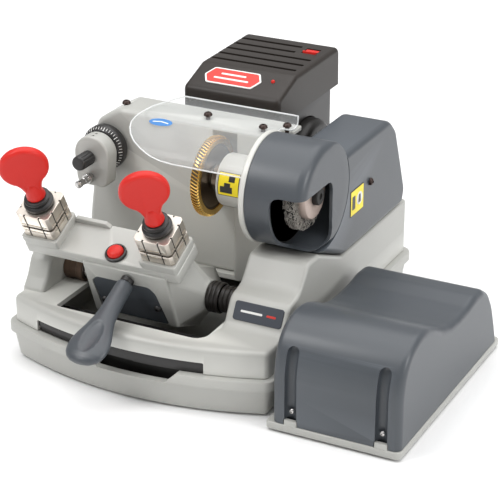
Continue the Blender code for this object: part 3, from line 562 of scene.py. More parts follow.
combine(casting, lathe("tool", castingShape["nose"], (0, spindleY, spindleZ), "X", 96), "UNION")
combine(casting, lathe("tool", castingShape["ring"], (0, spindleY, spindleZ), "X", 120), "UNION")
cutX(casting, spindleY, spindleZ, 14, -60, 10)
combine(casting, block("tool", -6, 9, 56, 74, 199.6, 203.1, 0.4, 2), "UNION")
for x, y in castingShape["screwSeats"]:
    combine(casting, lathe("tool", [(2.4, 210), (2.4, 192)], (x, y, 0), "Z", 24))
combine(casting, lathe("tool", [(6.3, 50), (6.3, 30)], (-171, 0, 167), "Y", 32))
wear(soften(casting, 1.0, 3, 30), "frame_casting")
screw("frame_screw_skin", "frame_screw", (-161, 52, 203.8), "Z", looks["dark_screw"])
screw("shield_screw_left_skin", "shield_screw_left", (-74, 50, 207.2), "Z", looks["dark_screw"])
screw("shield_screw_right_skin", "shield_screw_right", (2.5, 57, 207.2), "Z", looks["dark_screw"])
screw("shield_screw_middle", None, (-15, 44, 207.2), "Z", looks["dark_screw"], body="machine")
print("stage: frame")

# Tracer.
headShape = {"front": 3, "back": 19.8, "edge": 2.2, "pits": (7.5, 13.5)}
archLine = np.vstack([[(-155, 137)], arc(-171, 167, 18.3, 0, 180, 24), [(-187, 137)]])
archLine = rounded(archLine, [7] + [0] * 25 + [7], 5)
head = slab("tracer_head_skin", archLine, headShape["front"], headShape["back"], "Y", headShape["edge"], 5)
combine(head, lathe("tool", [(0.01, 44), (5.9, 44), (5.9, 15), (0.01, 15)], (-171, 0, 167), "Y", 32), "UNION")
combine(head, lathe("tool", [(3.3, 14), (3.3, -5)], (-172, 0, 146), "Y", 32))
for y in headShape["pits"]:
    combine(head, lathe("tool", [(1.4, 190), (1.4, 182.5)], (-171, y, 0), "Z", 20))
    # Near-black disc at the bottom of each pit: painted shade.
    wear(lathe(f"tracer_head_pit_shade_{round(y)}", [(0.01, 184.2), (1.3, 184.2), (1.3, 182.6), (0.01, 182.6)],
         (-171, y, 0), "Z", 20), None, extra["hollow"], "machine")
wear(soften(head, 0.3, 2), "tracer_head")
dialShape = {
    "profile": [(6.4, 32.7), (20.6, 32.7), (21.3, 32.4), (21.7, 31.6), (21.7, 24.8), (21.2, 23.9), (18.6, 20.6),
                (17.8, 20.4), (6.4, 20.4)],
}
dialProfile = dialShape["profile"]
dial = lathe("tracer_dial_skin", dialProfile, (-171, 0, 167), "Y", 120, smooth=50)
wear(soften(dial, 0.2, 1, 50), "tracer_dial")


# 44 raised lines round the dial's cone, every fifth one longer: thin blocks along its slope, 2 pi / 44 apart.
def ticks(name, body):
    points, faces = [], []
    for k in range(44):
        t = 2 * math.pi * k / 44
        long = k % 5 == 0
        r0, r1, w = (18.7 if long else 19.4), 21.1, (0.28 if long else 0.2)
        start = len(points)
        for r in (r0, r1):
            y = 20.6 + (r - 18.6) * 3.3 / 2.6
            for side in (-w, w):
                for lift in (-0.02, 0.14):
                    c, s = math.cos(t), math.sin(t)
                    rr, yy = r + lift * 0.8, y - lift
                    points.append((-171 + c * rr - s * side, yy, 167 + s * rr + c * side))
        faces += [[start + i for i in face] for face in
                  ((0, 1, 3, 2), (4, 6, 7, 5), (0, 4, 5, 1), (2, 3, 7, 6), (1, 5, 7, 3), (0, 2, 6, 4))]
    obj = meshFrom(name, place(points), faces)
    return wear(obj, None, extra["pale"], body)


ticks("tracer_dial_ticks", "dial")
lockShape = {
    "profile": [(0.01, -18.4), (4.6, -18.6), (5.9, -18.4), (6.7, -17.6), (7, -16.4), (7, 0.2), (6.2, 0.9),
                (5, 2.6), (0.01, 2.7)],
    "ribs": 12,
}
lockKnob = lathe("tracer_lock_knob_skin", lockShape["profile"], (-172, 0, 166), "Y", 64)
for k in range(lockShape["ribs"]):
    t = 2 * math.pi * k / lockShape["ribs"]
    spot = (-172 + 7.2 * math.cos(t), 0, 166 + 7.2 * math.sin(t))
    combine(lockKnob, lathe("tool", [(0.55, 0), (0.55, -17)], spot, "Y", 10))
wear(lockKnob, "tracer_lock_knob")
pointShape = {
    "profile": [(0.01, -20), (2.8, -20), (3.4, -19.6), (3.6, -18.8), (3.5, -17), (2.9, -13), (2.7, -10.2),
                (3.2, -9.8), (3.2, -5), (3.4, -4.6), (4.6, -4.5), (5, -4.1), (5, 0.3), (4.6, 0.7), (3, 0.7),
                (3, 12), (0.01, 12)],
}
pointProfile = pointShape["profile"]
wear(lathe("tracer_point_skin", pointProfile, (-172, 0, 146), "Y", 48), "tracer_point")

# Spindle.
axis = (0, spindleY, spindleZ)
shaftShape = {
    "profile": [(0.01, -67.5), (6.2, -67.5), (7.4, -66.6), (8, -65.6), (8, -47.6), (11.4, -47.6), (12, -47.1),
                (12, -39.3), (11.4, -38.8), (8, -38.5), (8, 49.4), (0.01, 49.4)],
}
wear(lathe("spindle_shaft_skin", shaftShape["profile"], axis, "X", 64), "spindle_shaft")

wheelShape = {"teeth": 72, "radius": 37.0, "toothDepth": 1.6, "slant": 0.012}


# Rim radius follows a saw tooth in angle; each ring across the width is turned a little, so teeth slant.
def cutterWheel():
    teeth, per = wheelShape["teeth"], 8
    t = np.linspace(0, 2 * math.pi, teeth * per, endpoint=False)
    tooth = np.array([0, 0, 0, 0, 0.95, 1, 1, 0.95])[np.arange(teeth * per) % per]
    rings = []
    for x, shrink, depth in ((-56, 8.0, 0), (-56, 1.6, 0.4), (-55.6, 0.7, 1), (-54, 0, 1), (-52, 0, 1),
                             (-50, 0, 1), (-48.5, 0.8, 1), (-48, 1.8, 0.5), (-48, 6.8, 0), (-49.4, 7.2, 0),
                             (-49.6, 12, 0), (-49.6, 27, 0)):
        r = wheelShape["radius"] - shrink - wheelShape["toothDepth"] * depth * tooth
        a = t + (x + 52) * wheelShape["slant"]
        rings.append(np.stack([np.full(len(t), x), spindleY + r * np.cos(a), spindleZ + r * np.sin(a)], 1))
    return stack("cutter_wheel_skin", rings, smooth=24)


wheel = cutterWheel()
cutX(wheel, spindleY, spindleZ, 8.3, -58, -46)
wear(wheel, "cutter_wheel")
# Dark ring just above the gullet bottoms: painted shade, so the teeth read as grooves.
gulletShadeRing = lathe("cutter_wheel_gullet_shade", [(30, -55.3), (36.05, -55.3), (36.1, -49.2), (30, -49.2)], axis, "X",
                96)
cutX(gulletShadeRing, spindleY, spindleZ, 28, -58, -46)
wear(gulletShadeRing, None, extra["gulletShade"], "spindle")
wheelFace = lathe("cutter_wheel_face", [(8.6, -49.55), (29.4, -49.55), (29.6, -49.5), (29.4, -49.35),
                  (28, -49.3), (22, -49.34), (12.4, -49.3), (8.6, -49.35)], axis, "X", 96)
cutX(wheelFace, spindleY, spindleZ, 8.7, -52, -47)
wear(wheelFace, None, extra["cutterFace"], "spindle")
nutShape = {"across": 14, "left": -65, "right": -56.3}
nut = slab("cutter_nut_skin", arc(spindleY, spindleZ, nutShape["across"], 0, 300, 5), nutShape["left"],
           nutShape["right"], "X", 0.5, 2)
cutX(nut, spindleY, spindleZ, 8.3, -70, -50)
wear(nut, "cutter_nut")


# Patch on the nose: angle and x on a grid, bent to the cylinder, as a thin closed plate.
def label(name, angle, half, x0, x1, radius, look, lift=0.06, thick=0.12):
    t = np.radians(np.linspace(angle - half, angle + half, 25))
    rings = []
    for r, a0, a1 in ((radius + lift, x0, x1), (radius + lift + thick, x0, x1)):
        low = np.stack([np.full(25, a0), spindleY - r * np.cos(t), spindleZ + r * np.sin(t)], 1)
        high = np.stack([np.full(25, a1), spindleY - r * np.cos(t), spindleZ + r * np.sin(t)], 1)
        rings.append(np.vstack([low, high[::-1]]))
    count = 50
    faces = [list(f) for f in ringFaces(2, count)]
    for ring in (0, 1):
        for k in range(24):
            faces.append([ring * count + k, ring * count + k + 1, ring * count + 48 - k, ring * count + 49 - k])
    return wear(meshFrom(name, place(np.vstack(rings)), faces), None, look, "machine")


label("nose_label_edge", 12, 26, -34.5, -13.5, 24, extra["ink"])
label("nose_label", 12, 24.4, -33.8, -14.2, 24.1, extra["yellow"])
label("nose_label_mark_low", 0, 7, -32, -20, 24.2, extra["ink"])
label("nose_label_mark_mid", 11, 4, -28, -22, 24.2, extra["ink"])
label("nose_label_mark_top", 24, 6, -24, -18, 24.2, extra["ink"])

# Shaft end inside the drum in near-black: painted shade.
wear(lathe("spindle_shaft_end_shade", [(0.01, 49.2), (8, 49.2), (8, 54), (7.2, 55), (3, 55), (2.6, 53.6),
     (0.01, 53.4)], axis, "X", 48), None, extra["hollow"], "spindle")
hubShape = {
    "profile": [(8.4, 50), (19.6, 50), (20.8, 49.6), (21.5, 48.6), (21.7, 47), (21.7, 31), (21, 29.4),
                (8.4, 29)],
}
hub = lathe("wire_brush_hub", hubShape["profile"], axis, "X", 80)
cutX(hub, spindleY, spindleZ, 8.4, 20, 60)
wear(hub, None, extra["hub"], "spindle")

brushShape = {"wires": 1500, "hubRadius": 21.2, "wireHalfWidth": 0.24}


# Each wire runs out from the hub, r = 21 + 12 s, with a wave a sin(k s + p) along the shaft and round it.
def brushWires():
    rng = np.random.default_rng(7)
    count, steps = brushShape["wires"], 9
    s = np.linspace(0, 1, steps)[None, :]
    angle = rng.uniform(0, 2 * math.pi, count)[:, None]
    angle = angle + 0.05 * np.sin(11 * s + rng.uniform(0, 6.28, (count, 1)))
    across = rng.uniform(33.6, 44.4, (count, 1)) + 0.6 * np.sin(12 * s + rng.uniform(0, 6.28, (count, 1)))
    reach = brushShape["hubRadius"] + s * (rng.uniform(10.2, 11.7, (count, 1)))
    centre = np.stack([across + 0 * s, spindleY + reach * np.cos(angle), spindleZ + reach * np.sin(angle)], -1)
    tangential = np.stack([0 * angle, -np.sin(angle), np.cos(angle)], -1)
    along = np.array([1.0, 0, 0])
    w = brushShape["wireHalfWidth"]
    corners = [tangential * w, -tangential * w * 0.5 + along * w * 0.9, -tangential * w * 0.5 - along * w * 0.9]
    points = np.stack([centre + c for c in corners], 2).reshape(-1, 3)
    base = (np.arange(count) * steps * 3)[:, None, None]
    ring = (np.arange(steps - 1) * 3)[None, :, None]
    k = np.arange(3)[None, None, :]
    n = (k + 1) % 3
    around = [base + ring + k, base + ring + n, base + ring + 3 + n, base + ring + 3 + k]
    faces = np.stack(around, -1).reshape(-1, 4)
    first, last = base[:, 0, 0], base[:, 0, 0] + steps * 3 - 3
    ends = np.concatenate([np.stack([first, first + 2, first + 1], 1), np.stack([last, last + 1, last + 2], 1)])
    mesh = bpy.data.meshes.new("wire_brush_skin")
    mesh.from_pydata(place(points).tolist(), [], faces.tolist() + ends.tolist())
    mesh.shade_smooth()
    obj = bpy.data.objects.new("wire_brush_skin", mesh)
    bpy.context.scene.collection.objects.link(obj)
    return obj


wear(brushWires(), "wire_brush")
# Near-black ring among the wires: painted shade between them.
wear(lathe("wire_brush_core_shade", [(8.4, 42.6), (30.2, 42.4), (30.6, 42), (30.6, 36), (30.2, 35.6), (8.4, 35.4)],
     axis, "X", 64), None, extra["hollow"], "spindle")
print("stage: spindle")

drumShape = {"radius": 49.5, "rightEnd": 60, "rearEdge": 1.0, "frontEdge": 8.0}


# Brush guard.
# Drum turned about the spindle; the radius of its right edge shrinks from 9 mm in front to 1 mm at the rear.
def drumShell():
    segments = 144
    t = np.linspace(0, 2 * math.pi, segments, endpoint=False)
    frontness = 0.5 - 0.5 * np.tanh((np.cos(t) - 0.25) * 5)  # 1 in front and below, 0 by the belt cover
    edge = drumShape["rearEdge"] + drumShape["frontEdge"] * frontness
    rings = [np.stack([np.full(segments, x), spindleY + r * np.cos(t), spindleZ + r * np.sin(t)], 1)
             for r, x in ((46.5, 5.4), (46.5, 4.4), (46.9, 4.3), (49.0, 4.3), (49.5, 4.8))]
    for a in np.linspace(0, math.pi / 2, 9):
        r = drumShape["radius"] - edge * (1 - math.cos(a))
        x = drumShape["rightEnd"] - edge * (1 - math.sin(a))
        rings.append(np.stack([x, spindleY + r * np.cos(t), spindleZ + r * np.sin(t)], 1))
    for r, x in ((38, 60), (20, 60), (0.01, 60)):
        rings.append(np.stack([np.full(segments, x), spindleY + r * np.cos(t), spindleZ + r * np.sin(t)], 1))
    inner = [np.stack([np.full(segments, x), spindleY + r * np.cos(t), spindleZ + r * np.sin(t)], 1)
             for r, x in ((0.01, 57), (30, 57), (45, 57), (46.5, 55.5), (46.5, 30))]
    return stack("brush_guard_skin", rings + inner, caps=False)


drum = drumShell()
work = bmesh.new()
work.from_mesh(drum.data)
openEdges = [edge for edge in work.edges if len(edge.link_faces) == 1]
bmesh.ops.bridge_loops(work, edges=openEdges)
bmesh.ops.recalc_face_normals(work, faces=work.faces)
work.to_mesh(drum.data)
work.free()
windowTool = block("tool", 28.5, 70, -60, 31, 119.5, 176, 9, 3)
combine(drum, windowTool)
combine(drum, block("tool", 6, 30, 45, 75, 120, 200, 0.1, 1))
wear(soften(drum, 1.0, 3, 35), "brush_guard")
# Near-black sleeve and disc inside the drum: painted shade seen through the window.
wear(lathe("brush_guard_lining_shade", [(46.0, 27), (46.0, 9), (10, 8.6), (10, 9.4), (45.2, 9.8), (45.2, 27)], axis,
     "X", 72), None, extra["hollow"], "machine")

# Belt cover and motor.
beltCoverShape = {
    "outline": [(8, 113.6), (60, 91.5), (197, 91.5), (202, 106), (176, 174), (160, 189), (52, 189)],
    "radii": [1, 3, 4, 14, 22, 22, 12],
    "left": 10,
    "right": 60,
    "edge": 5.5,
    "hollow": [(21, 113.2), (62, 94.6), (194.6, 94.6), (198.4, 106), (173, 172.6), (159, 185.8), (50, 185.8)],
}
coverSide = beltCoverShape["outline"]
beltCover = slab("belt_cover_skin", rounded(coverSide, beltCoverShape["radii"], 8), beltCoverShape["left"],
                 beltCoverShape["right"], "X", beltCoverShape["edge"], 7)
combine(beltCover, slab("tool", rounded(beltCoverShape["hollow"], 6, 4), 8, 57, "X", 0.1, 1))
combine(beltCover, lathe("tool", [(49.9, 80), (49.9, 0)], axis, "X", 144))
wear(soften(beltCover, 0.6, 2, 40), "belt_cover")
screw("belt_cover_screw_skin", "belt_cover_screw", (60.3, 114, 144), "X", looks["dark_screw"], 0.9)
for name, line, level, look in (
        ("edge", rounded([(70, 124), (99, 124), (99, 149), (70, 149)], 0.8, 2), 60.1, extra["ink"]),
        ("field", rounded([(70.8, 124.8), (98.2, 124.8), (98.2, 148.2), (70.8, 148.2)], 0.6, 2), 60.25,
         extra["yellow"]),
        ("ring", arc(89.5, 137, 6.2, 0, 345, 23), 60.4, extra["pale"]),
        ("mark", rounded([(86.5, 133), (92, 133), (91, 141), (87.5, 141)], 0.8, 2), 60.55, extra["ink"]),
        ("bar", rounded([(73.5, 130), (80, 130), (80, 143), (73.5, 143)], 0.8, 2), 60.4, extra["ink"])):
    wear(slab(f"belt_cover_label_{name}", line, level, level + 0.25, "X", 0.05, 1), None, look, "machine")

motorShape = {"ribPitch": 6.0, "radius": 42}
motorAxis = (0, 152, 136)
shellProfile = [(0.01, -150), (30, -150), (34, -149.4), (38, -147), (40.6, -143.4), (42, -139)]
for x in np.arange(-132, -24, motorShape["ribPitch"]):
    shellProfile += [(motorShape["radius"], x), (40.8, x + 0.8), (40.8, x + 2.2), (42, x + 3.0)]
shellProfile += [(42, -19), (40.4, -14.6), (37, -12.2), (34, -12), (0.01, -12)]
motorSkin = lathe("motor_body_skin", shellProfile, motorAxis, "X", 96)
combine(motorSkin, block("tool", -100, -44, 126, 178, 62.3, 110, 0.5, 2), "UNION")
wear(motorSkin, "motor_body")
housing = block("motor_housing_skin", -119, -25, 94, 214, 62.3, 191.7, 1.5, 6)
combine(housing, block("tool", -116, -28, 97, 211, 50, 188.5, 0.2, 3))
combine(housing, lathe("tool", [(42.6, 0), (42.6, -140)], motorAxis, "X", 96))
wear(soften(housing, 0.8, 2), "motor_housing")
hoodShape = {
    "outline": [(90, 180), (90, 216), (127, 229.2), (223.4, 230), (225, 180)],
    "radii": [0.5, 7, 14, 7, 0.5],
    "left": -122,
    "right": -22,
    "edge": 4.5,
    "vents": (140, 156, 172, 188, 204),
}
hoodLine = hoodShape["outline"]
hood = slab("motor_hood_skin", rounded(hoodLine, hoodShape["radii"], 7), hoodShape["left"], hoodShape["right"],
            "X", hoodShape["edge"], 6)
combine(hood, slab("tool", rounded([(93, 180), (93, 212.6), (128, 225.8), (220.6, 226.8), (221.4, 170)], 3, 4),
        -119, -25, "X", 0.2, 1))
combine(hood, block("tool", -130, -10, 80, 235, 160, 192.2, 0.1, 0.5))
for k, y in enumerate(hoodShape["vents"]):
    end = -29 if y < 180 else -53
    vent = [(y - 2.6, 235), (y - 1.9, 224), (y + 1.9, 224), (y + 2.6, 235)]
    combine(hood, slab("tool", rounded(vent, 0.2, 1), -125, end, "X", 1.2, 3))
combine(hood, block("tool", -47.5, -32.5, 189, 204, 220, 235, 0.1, 0.8))
combine(hood, lathe("tool", [(2.0, 240), (2.0, 210)], (-40, 114, 0), "Z", 24))
wear(soften(hood, 0.8, 3, 33), "motor_hood")
wear(lathe("hood_lamp", [(0.01, 226.4), (1.0, 226.3), (1.7, 225.6), (1.9, 224.4), (1.9, 218), (0.01, 218)],
     (-40, 114, 0), "Z", 24), None, looks["red_plastic"], "machine")
rockerShape = {
    "outline": [(191.2, 223.5), (201.8, 223.5), (201.8, 229.7), (196.5, 229.3), (191.2, 231.9)],
    "left": -46.8,
    "right": -33.2,
}
rocker = slab("rocker_switch_skin", rounded(rockerShape["outline"], [0.5, 0.5, 0.8, 6, 0.8], 4),
              rockerShape["left"], rockerShape["right"], "X", 0.5, 3)
wear(rocker, "rocker_switch")


# Flat plate on the hood's front slope: outline in x and distance up the slope.
def slopePlate(name, corners, lift, thick, look, radius=2.0):
    start, end = np.array([98.0, 219.0]), np.array([124.0, 228.3])
    run = (end - start) / np.linalg.norm(end - start)
    normal = np.array([-run[1], run[0]])
    line = rounded(corners, radius, 5)
    rings = []
    for level, margin in ((lift, 0.0), (lift + thick, 0.15)):
        flat = line.at(margin)
        base = start + flat[:, 1:2] * run + level * normal
        rings.append(np.stack([flat[:, 0], base[:, 0], base[:, 1]], 1))
    return wear(stack(name, rings), None, look, "machine")


badgeShape = {"outline": [(-103, 1), (-56, 1), (-50, 13), (-56, 24), (-103, 24), (-109, 12)], "border": 1.6}
badge = badgeShape["outline"]
slopePlate("badge_border", badge, 0.05, 0.7, extra["pale"], 3)
slopePlate("badge_field", Outline(badge).at(badgeShape["border"]), 0.7, 0.25, extra["badgeRed"], 2.5)
slopePlate("badge_bar_low", [(-98, 8), (-62, 8), (-62, 10.4), (-98, 10.4)], 0.9, 0.2, extra["pale"], 1)
slopePlate("badge_bar_high", [(-93, 14.6), (-67, 14.6), (-67, 17), (-93, 17)], 0.9, 0.2, extra["pale"], 1)

inlet = block("power_inlet_skin", 18, 46, 198, 209.6, 66, 86, 0.4, 0.8)
combine(inlet, block("tool", 15, 49, 209.3, 211.5, 63.5, 88.5, 0.5, 0.8), "UNION")
combine(inlet, block("tool", 21, 43, 202, 215, 69, 83, 0.1, 0.8))
for x, z in ((26, 74), (32, 78), (38, 74)):
    combine(inlet, block("tool", x - 1, x + 1, 200, 208, z - 2, z + 2, 0.2, 0.3), "UNION")
wear(soften(inlet, 0.3, 2), "power_inlet")
slope = math.atan2(13.5, 24.0)


def wingFace(points):
    x, y, z = np.asarray(points, float).T
    c, s = math.cos(-slope), math.sin(-slope)
    return np.stack([31 + x, -55.25 + y * c - z * s, 75.5 + y * s + z * c], 1)


nameplateShape = {
    "outline": [(-23.5, -8.5), (23.5, -8.5), (23.5, 8.5), (-23.5, 8.5)],
    "corner": 2.6,
    "lines": (("long", -17, 4, extra["pale"]), ("short", 8, 17, extra["badgeRed"])),
}
wear(slab("nameplate_skin", rounded(nameplateShape["outline"], nameplateShape["corner"], 6), -1.6, -0.3, "Y",
     0.35, 3, wingFace), "nameplate")
for name, x0, x1, look in nameplateShape["lines"]:
    wear(slab(f"nameplate_line_{name}", rounded([(x0, -1.0), (x1, -1.0), (x1, 1.0), (x0, 1.0)], 0.9, 4), -1.75,
         -1.5, "Y", 0.05, 1, wingFace), None, look, "machine")
print("stage: motor and covers")


# Shield.
# Round section carried along a closed path: p + r (u cos t + v sin t), u and v square to the path.
def bead(name, path, radius, around=8):
    along = np.roll(path, -1, 0) - np.roll(path, 1, 0)
    along /= np.linalg.norm(along, axis=1)[:, None]
    u = np.cross(along, np.array([0.37, 0.71, 0.6]))
    u /= np.linalg.norm(u, axis=1)[:, None]
    v = np.cross(along, u)
    t = np.linspace(0, 2 * math.pi, around, endpoint=False)[None, :, None]
    rings = path[:, None, :] + radius * (u[:, None, :] * np.cos(t) + v[:, None, :] * np.sin(t))
    faces = ringFaces(len(path) + 1, around) % (len(path) * around)
    return meshFrom(name, place(rings.reshape(-1, 3)), faces, 60)


shieldShape = {"thickness": 0.002, "rim": 0.75}


# Sheet over the cutter: rows follow a smooth section (y, z); each row runs from a curved left edge to the right
# edge.
def shieldSheet():
    rows = np.array([(66, 215, -106, 9), (65.4, 211, -117, 9), (64.4, 207.4, -124, 9), (62.4, 206.1, -128, 9),
                    (58, 205.8, -131, 9), (53.2, 205.8, -132.5, 9), (52, 205.8, -132.8, -1.4),
                    (44, 205.8, -133.6, -1.4), (30, 205.8, -134, -1.4), (20, 205.6, -133, -1.4),
                    (10, 204.6, -131.2, -1.4), (2, 202.4, -128, -1.4), (-5, 199.3, -123.4, -1.4),
                    (-11, 195.5, -116.5, -1.4), (-15.5, 191.3, -107, -1.4), (-18.2, 187.6, -97, -1.4),
                    (-19.2, 185, -86, -1.4), (-19.5, 184, -73, -1.4)])
    columns = np.linspace(0, 1, 41)[None, :]
    x = rows[:, 2:3] + (rows[:, 3:4] - rows[:, 2:3]) * columns
    points = np.stack([x, rows[:, 0:1] + 0 * x, rows[:, 1:2] + 0 * x], -1).reshape(-1, 3)
    faces = ringFaces(len(rows), 41, False)
    grid = points.reshape(len(rows), 41, 3)
    border = np.vstack([grid[0, ::-1], grid[1:, 0], grid[-1, 1:], grid[-2:0:-1, -1]])
    wear(bead("shield_rim", border, shieldShape["rim"]), None, extra["clearRim"], "machine")
    obj = meshFrom("shield_skin", place(points), faces, 60)
    sheet = obj.modifiers.new("sheet", "SOLIDIFY")
    sheet.thickness, sheet.offset = shieldShape["thickness"], 0
    rim = obj.modifiers.new("rim", "BEVEL")
    rim.width, rim.segments, rim.limit_method, rim.angle_limit = 0.0005, 2, "ANGLE", math.radians(50)
    return obj


wear(shieldSheet(), "shield")
oval = np.stack([-104 + 11.5 * np.cos(np.linspace(0, 2 * math.pi, 48, endpoint=False)),
                 6.5 * np.sin(np.linspace(0, 2 * math.pi, 48, endpoint=False))], 1)


def onShield(points):
    x, y, z = np.asarray(points, float).T
    c, s = math.cos(math.radians(8)), math.sin(math.radians(8))
    return np.stack([x, 16 + y * c - z * s, 206.6 + y * s + z * c], 1)


wear(slab("shield_print", oval, 0.0, 0.12, "Z", 0.03, 1, onShield), None, extra["blue"], "machine")
wear(slab("shield_print_wave", rounded([(-112, -1.6), (-104, 0.4), (-96, -1.2), (-96, 0.2), (-104, 1.9),
     (-112, 0)], 1, 3), 0.1, 0.2, "Z", 0.02, 1, onShield), None, extra["pale"], "machine")

# Carriage shaft.
shaftAxis = (0, shaftY, shaftZ)
carriageShaftShape = {"profile": [(0.01, 24), (8.3, 24), (9, 23.3), (9, -195.7), (8.3, -196.4), (0.01, -196.4)]}
wear(lathe("carriage_shaft_skin", carriageShaftShape["profile"], shaftAxis, "X", 64), "carriage_shaft")
wear(lathe("shaft_end_knob_skin", [(0.01, -214), (3.2, -214), (4.3, -213.4), (4.7, -212.2), (4.7, -199.2),
     (4.2, -196.8), (0.01, -196.7)], shaftAxis, "X", 48), "shaft_end_knob")


# Turned ring: outside profile closed by its bore.
def tube(name, profile, node):
    segments = 72
    t = np.linspace(0, 2 * math.pi, segments, endpoint=False)
    rings = [np.stack([np.full(segments, h), shaftY + r * np.cos(t), shaftZ + r * np.sin(t)], 1)
             for r, h in profile + profile[:1]]
    obj = stack(name, rings, caps=False)
    work = bmesh.new()
    work.from_mesh(obj.data)
    bmesh.ops.remove_doubles(work, verts=work.verts, dist=1e-7)
    bmesh.ops.recalc_face_normals(work, faces=work.faces)
    work.to_mesh(obj.data)
    work.free()
    return wear(obj, node)


tube("shaft_sleeve_skin", [(9.3, -155), (11.9, -155), (12.5, -155.6), (12.5, -161), (11.9, -161.6),
     (11.9, -168), (12.5, -168.6), (12.5, -174.1), (11.9, -174.7), (9.3, -174.7)], "shaft_sleeve")
tube("boot_fixed_skin", [(9.3, -0.7), (11.0, -0.7), (12.2, -2), (12.2, -4.6), (11.2, -5.6), (12.2, -6.6),
     (12.2, -9.4), (11.2, -10.4), (12.2, -11.4), (12.2, -13.4), (11.2, -14.5), (9.3, -14.5)], "boot_fixed")
tube("boot_moving_skin", [(12.5, -14.8), (13.2, -14.8), (14.2, -15.6), (14.2, -17.6), (13.2, -18.6),
     (14.2, -19.6), (14.2, -21.8), (13.2, -22.8), (14.2, -23.8), (14.2, -25.8), (13.4, -26.7), (12.5, -26.7)],
     "boot_moving")

# Carriage.
carriageShape = {
    "core": [(-29, 50), (-36, -8.5), (-6.6, -40.9), (44.6, -44.2), (42.2, -15.2), (15.6, 16), (12, 45),
             (12, 50)],
    "coreRadii": [1, 4, 5, 4, 6, 10, 2, 1],
    "left": -131,
    "right": -46,
    "edge": 2.0,
    "flare": [(-9, 12), (-14.2, -3), (-7, -13), (7, -13), (14, -5), (11, 9), (6, 14), (0, 15)],
    "pocket": [(-125.3, -20.8), (-119.8, -14.8), (-66.2, -14.8), (-60.8, -20.8), (-52.4, -66), (-121.3, -66)],
}
coreLine = carriageShape["core"]
carriage = slab("carriage_body_skin", rounded(coreLine, carriageShape["coreRadii"], 5), carriageShape["left"],
                carriageShape["right"], "X", carriageShape["edge"], 4, tilted)
combine(carriage, block("tool", -190.5, -33.5, -27, 12, 45, 57, 1.2, 3, tilted), "UNION")
for x in (-172, -52):
    low = rounded([(x - 14.5, -25.5), (x + 16.2, -25.5), (x + 16.2, 9), (x - 14.5, 9)], 3, 4).at()
    highLine = rounded([(x - 18.4, -27.1), (x + 18.4, -27.1), (x + 18.4, 11), (x - 18.4, 11)], 2.5, 4)
    high = highLine.at()
    seatRings = ((low, 44), (low * 0.35 + high * 0.65, 54), (high, 61), (high, 65.4), (highLine.at(0.6), 66))
    seat = stack("tool", [tilted(lay(ring, level, "Z")) for ring, level in seatRings])
    combine(carriage, seat, "UNION")
combine(carriage, slab("tool", rounded([(-156, 56), (-116, 56), (-122, 62), (-153, 62)], 1.5, 4), 7.4, 11.6,
        "Y", 0.8, 3, tilted), "UNION")
flare = carriageShape["flare"]
flareFrom = rounded(np.array(coreLine) * 0.97, 3, 5).at()
flareTo = rounded(flare, 5, 5).at()
flareRings = [tilted(lay(flareFrom + (flareTo - flareFrom) * (t ** 0.9), -47 + 20 * t, "X"))
              for t in np.linspace(0, 1, 12)]
combine(carriage, stack("tool", flareRings), "UNION")
boreTool = lathe("tool", [(9.3, -20), (9.3, -140)], (0, 0, 0), "X", 64, tilted)
combine(carriage, boreTool)
pocketLine = carriageShape["pocket"]
combine(carriage, slab("tool", rounded(pocketLine, [4, 6, 6, 12, 1, 1], 6), -6, 3, "Y", 0.1, 1, panelFrame))
combine(carriage, lathe("tool", [(8.4, 70), (8.4, 49)], (-99, -18, 0), "Z", 48, tilted))
for x in (-172, -52):
    combine(carriage, lathe("tool", [(5.3, 72), (5.3, 50)], (x, -7.5, 0), "Z", 32, tilted))
wear(soften(carriage, 1.0, 3, 28), "carriage_body")
panelShape = {
    "outline": [(-124.6, -21), (-119.6, -15.4), (-66.4, -15.4), (-61.4, -21), (-54.9, -57.2), (-120.2, -57.2)],
    "radii": [4, 6, 6, 12, 1.5, 1.5],
}
panelLine = panelShape["outline"]
wear(slab("carriage_panel_skin", rounded(panelLine, panelShape["radii"], 6), 0.2, 2.7, "Y", 0.5, 3, panelFrame),
     "carriage_panel")
for side, x, z in (("left", -116.5, -42), ("right", -62, -39)):
    screw(f"panel_screw_{side}_skin", f"panel_screw_{side}", (x, 0, z), "Y", looks["black_plastic"], 0.85, -1,
          panelFrame)
buttonShape = {
    "bezel": [(8.2, 60.3), (8.8, 60.4), (9.6, 60.1), (10, 59.3), (10, 57.5), (9.9, 57.3), (8.2, 57.3)],
    "cap": [(0.01, 64), (2.6, 63.9), (4.8, 63.5), (6.4, 62.6), (7.2, 61.4), (7.5, 60), (7.5, 52.6),
            (0.01, 52.6)],
}
bezel = lathe("button_bezel_skin", buttonShape["bezel"], (-99, -18, 0), "Z", 64, tilted)
combine(bezel, lathe("tool", [(8.2, 64), (8.2, 50)], (-99, -18, 0), "Z", 64, tilted))
wear(bezel, "button_bezel")
wear(lathe("start_button_skin", buttonShape["cap"], (-99, -18, 0), "Z", 64, tilted, smooth=50), "start_button")
collarSkin = lathe("lever_collar_skin", [(0.01, -36), (5.4, -36), (6, -35.5), (6.2, -34.6), (6.2, -31.4),
                   (0.01, -31.2)], (-85, 0, 41.5), "Y", 48, tilted)
wear(collarSkin, "lever_collar")

gripShape = {
    "sections": [(36.4, 6.2, 6.2), (37.0, 7.2, 7.2), (38.5, 7.7, 7.6), (52, 8.1, 7.7), (66, 8.9, 7.3),
                 (78, 10.6, 6.8), (88, 14.0, 6.5), (96, 17.2, 6.7), (104, 19.3, 6.9), (111, 19.6, 6.8),
                 (117, 18.2, 6.2), (121.5, 15.2, 5.2), (124.5, 10.8, 3.9), (125.8, 6.0, 2.2), (126, 1.5, 0.6)],
    "dishDepth": 2.6,
}


